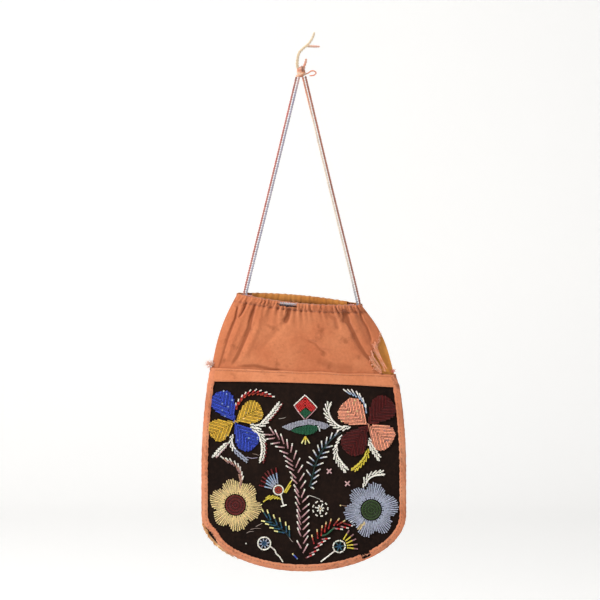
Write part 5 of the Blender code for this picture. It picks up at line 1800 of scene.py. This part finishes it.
# The long shreds that hang across the tear, as (across, height above the velvet's top).
SHREDS = [[(61.7, 36.5), (63.4, 32.4), (66.3, 25.2), (70.4, 17.6), (72.6, 11.7)],
          [(60.5, 30.6), (62.7, 24.3), (66.8, 18.0), (69.9, 11.2)],
          [(59.1, 25.2), (61.8, 19.8), (65.4, 14.8), (68.6, 10.3)],
          [(63.6, 38.2), (65.9, 30.6), (69.5, 22.5), (74.0, 14.0)]]
SHRED_STRANDS = 7
shreds = fray(draw, 130, torn_place, -30, 2.6, 26, 0.16, SALMON_THREADS, 0.6)
for points in SHREDS:
    for strand in range(SHRED_STRANDS):
        shift = POUCH_AXIS + draw.gauss(0.0, 0.55)
        route = [(x + shift + draw.gauss(0.0, 0.2), -6.6 - draw.uniform(0.0, 0.8),
                  z + PANEL_TOP + draw.gauss(0.0, 0.3)) for x, z in points]
        shreds.append((route, 0.2, draw.choice(SALMON_THREADS)))
thread_piece("torn_shreds", "salmon_cotton", shreds)
worn = fray(draw, 26, round_the_hole, 100, 1.5, 60, 0.12, SALMON_THREADS)
worn += fray(draw, 16, right_corner, 42, 3.4, 30, 0.16, [(178, 48, 40), (196, 80, 60)])
thread_piece("worn_threads", "salmon_cotton", worn)
thread_piece("left_tuft", "salmon_cotton", fray(
    draw, 46, left_seam, 184, 6.4, 16, 0.2, [(228, 172, 150), (216, 150, 126), (232, 190, 170)], 0.45))

# %% The frayed lower left
EDGE_STRANDS = 64
edge_threads = []
for _ in range(EDGE_STRANDS):
    start = draw.uniform(0.278, 0.35)
    count = draw.randint(4, 8)
    route = []
    for k in range(count):
        x, z = plan(*edge_path(np.array(min(0.40, start + 0.008 * k))))
        away = 1.0 + draw.gauss(0.0, 0.7) + (1.2 if k == count - 1 else 0.0)
        route.append((float(x) - away * 0.8, -1.4 + draw.gauss(0.0, 0.6), float(z) - away * 0.6))
    edge_threads.append((route, 0.28, draw.choice(OCHRE_THREADS)))


def lower_left(draw):
    """A place on the frayed edge below the slipped tape."""
    x, z = plan(*edge_path(np.array(draw.uniform(0.28, 0.395))))
    return float(x) + 0.2, draw.gauss(0.0, 0.8), float(z) + 0.2


edge_threads += fray(draw, 90, lower_left, 215, 3.4, 34, 0.18, OCHRE_THREADS, 0.6)
thread_piece("edge_fray", "ochre_cotton", edge_threads)


def at_hole(draw):
    """A place on the torn ends of the tape."""
    x, z = plan(*edge_path(np.array(draw.uniform(TORN[0] - 0.001, TORN[1] + 0.001))))
    return float(x) - 1.2, -3.4, float(z) + 2.4


thread_piece("binding_fray", "salmon_cotton", fray(draw, 20, at_hole, 110, 2.2, 60, 0.13, SALMON_THREADS))

# %% Bare threads and stray beads on the velvet
bare = []
for points, colour in (
        ([(-43.0, -127.4), (-40.3, -126.0), (-37.1, -124.2)], (150, 132, 122)),
        ([(-47.7, -130.0), (-43.0, -128.9), (-38.5, -129.2)], (140, 120, 112)),
        ([(-51.1, -133.2), (-48.4, -131.9), (-44.8, -131.8)], (150, 132, 122)),
        ([(-14.4, -134.3), (-12.4, -138.2), (-9.7, -141.2)], (170, 160, 150)),
        ([(-51.1, -65.0), (-46.6, -66.1), (-41.4, -65.6)], (168, 160, 186)),
        ([(-46.0, -62.1), (-43.0, -62.5), (-40.2, -63.5)], (140, 110, 90)),
        ([(-22.3, -30.6), (-19.2, -30.4), (-16.0, -29.3)], (150, 140, 130)),
        ([(5.0, -99.3), (9.2, -100.6), (14.8, -103.0)], (200, 196, 186)),
        ([(33.8, -108.2), (38.0, -108.9), (42.3, -108.5)], (140, 104, 82)),
        ([(-38.5, -107.5), (-40.9, -109.4), (-41.6, -112.5)], (210, 200, 150)),
        ([(-11.0, -86.6), (-10.1, -83.5), (-10.6, -81.0)], (206, 198, 160))):
    route = []
    for x, z in points:
        world_x, world_z = (float(c) for c in on_panel(np.array(x), np.array(z)))
        route.append((world_x, on_front(world_x, world_z) - 0.25, world_z))
    bare.append((route, 0.24, colour))
thread_piece("bare_threads", "white_beads", bare)
work = Beadwork("loose")
work.bead(-51.7, -142.7, 0.3, "white")
work.bead(32.9, -108.2, 1.1, "cream")
work.row((43.7, -126.0), 0.2, 2, "grey_blue")
work.row((-10.3, -151.6), math.radians(315), 3, ["lemon", "sky", "blue"])
work.row((-8.1, -153.9), math.radians(315), 3, ["blue", "blue", "sky"])
work.make("white_beads", in_model=False)

# %% What every cloth was before it was sewn
print("cloth areas", {p.name: round(flat_area(p), 4) for p in (velvet, lining, yoke, band, back, tape)})
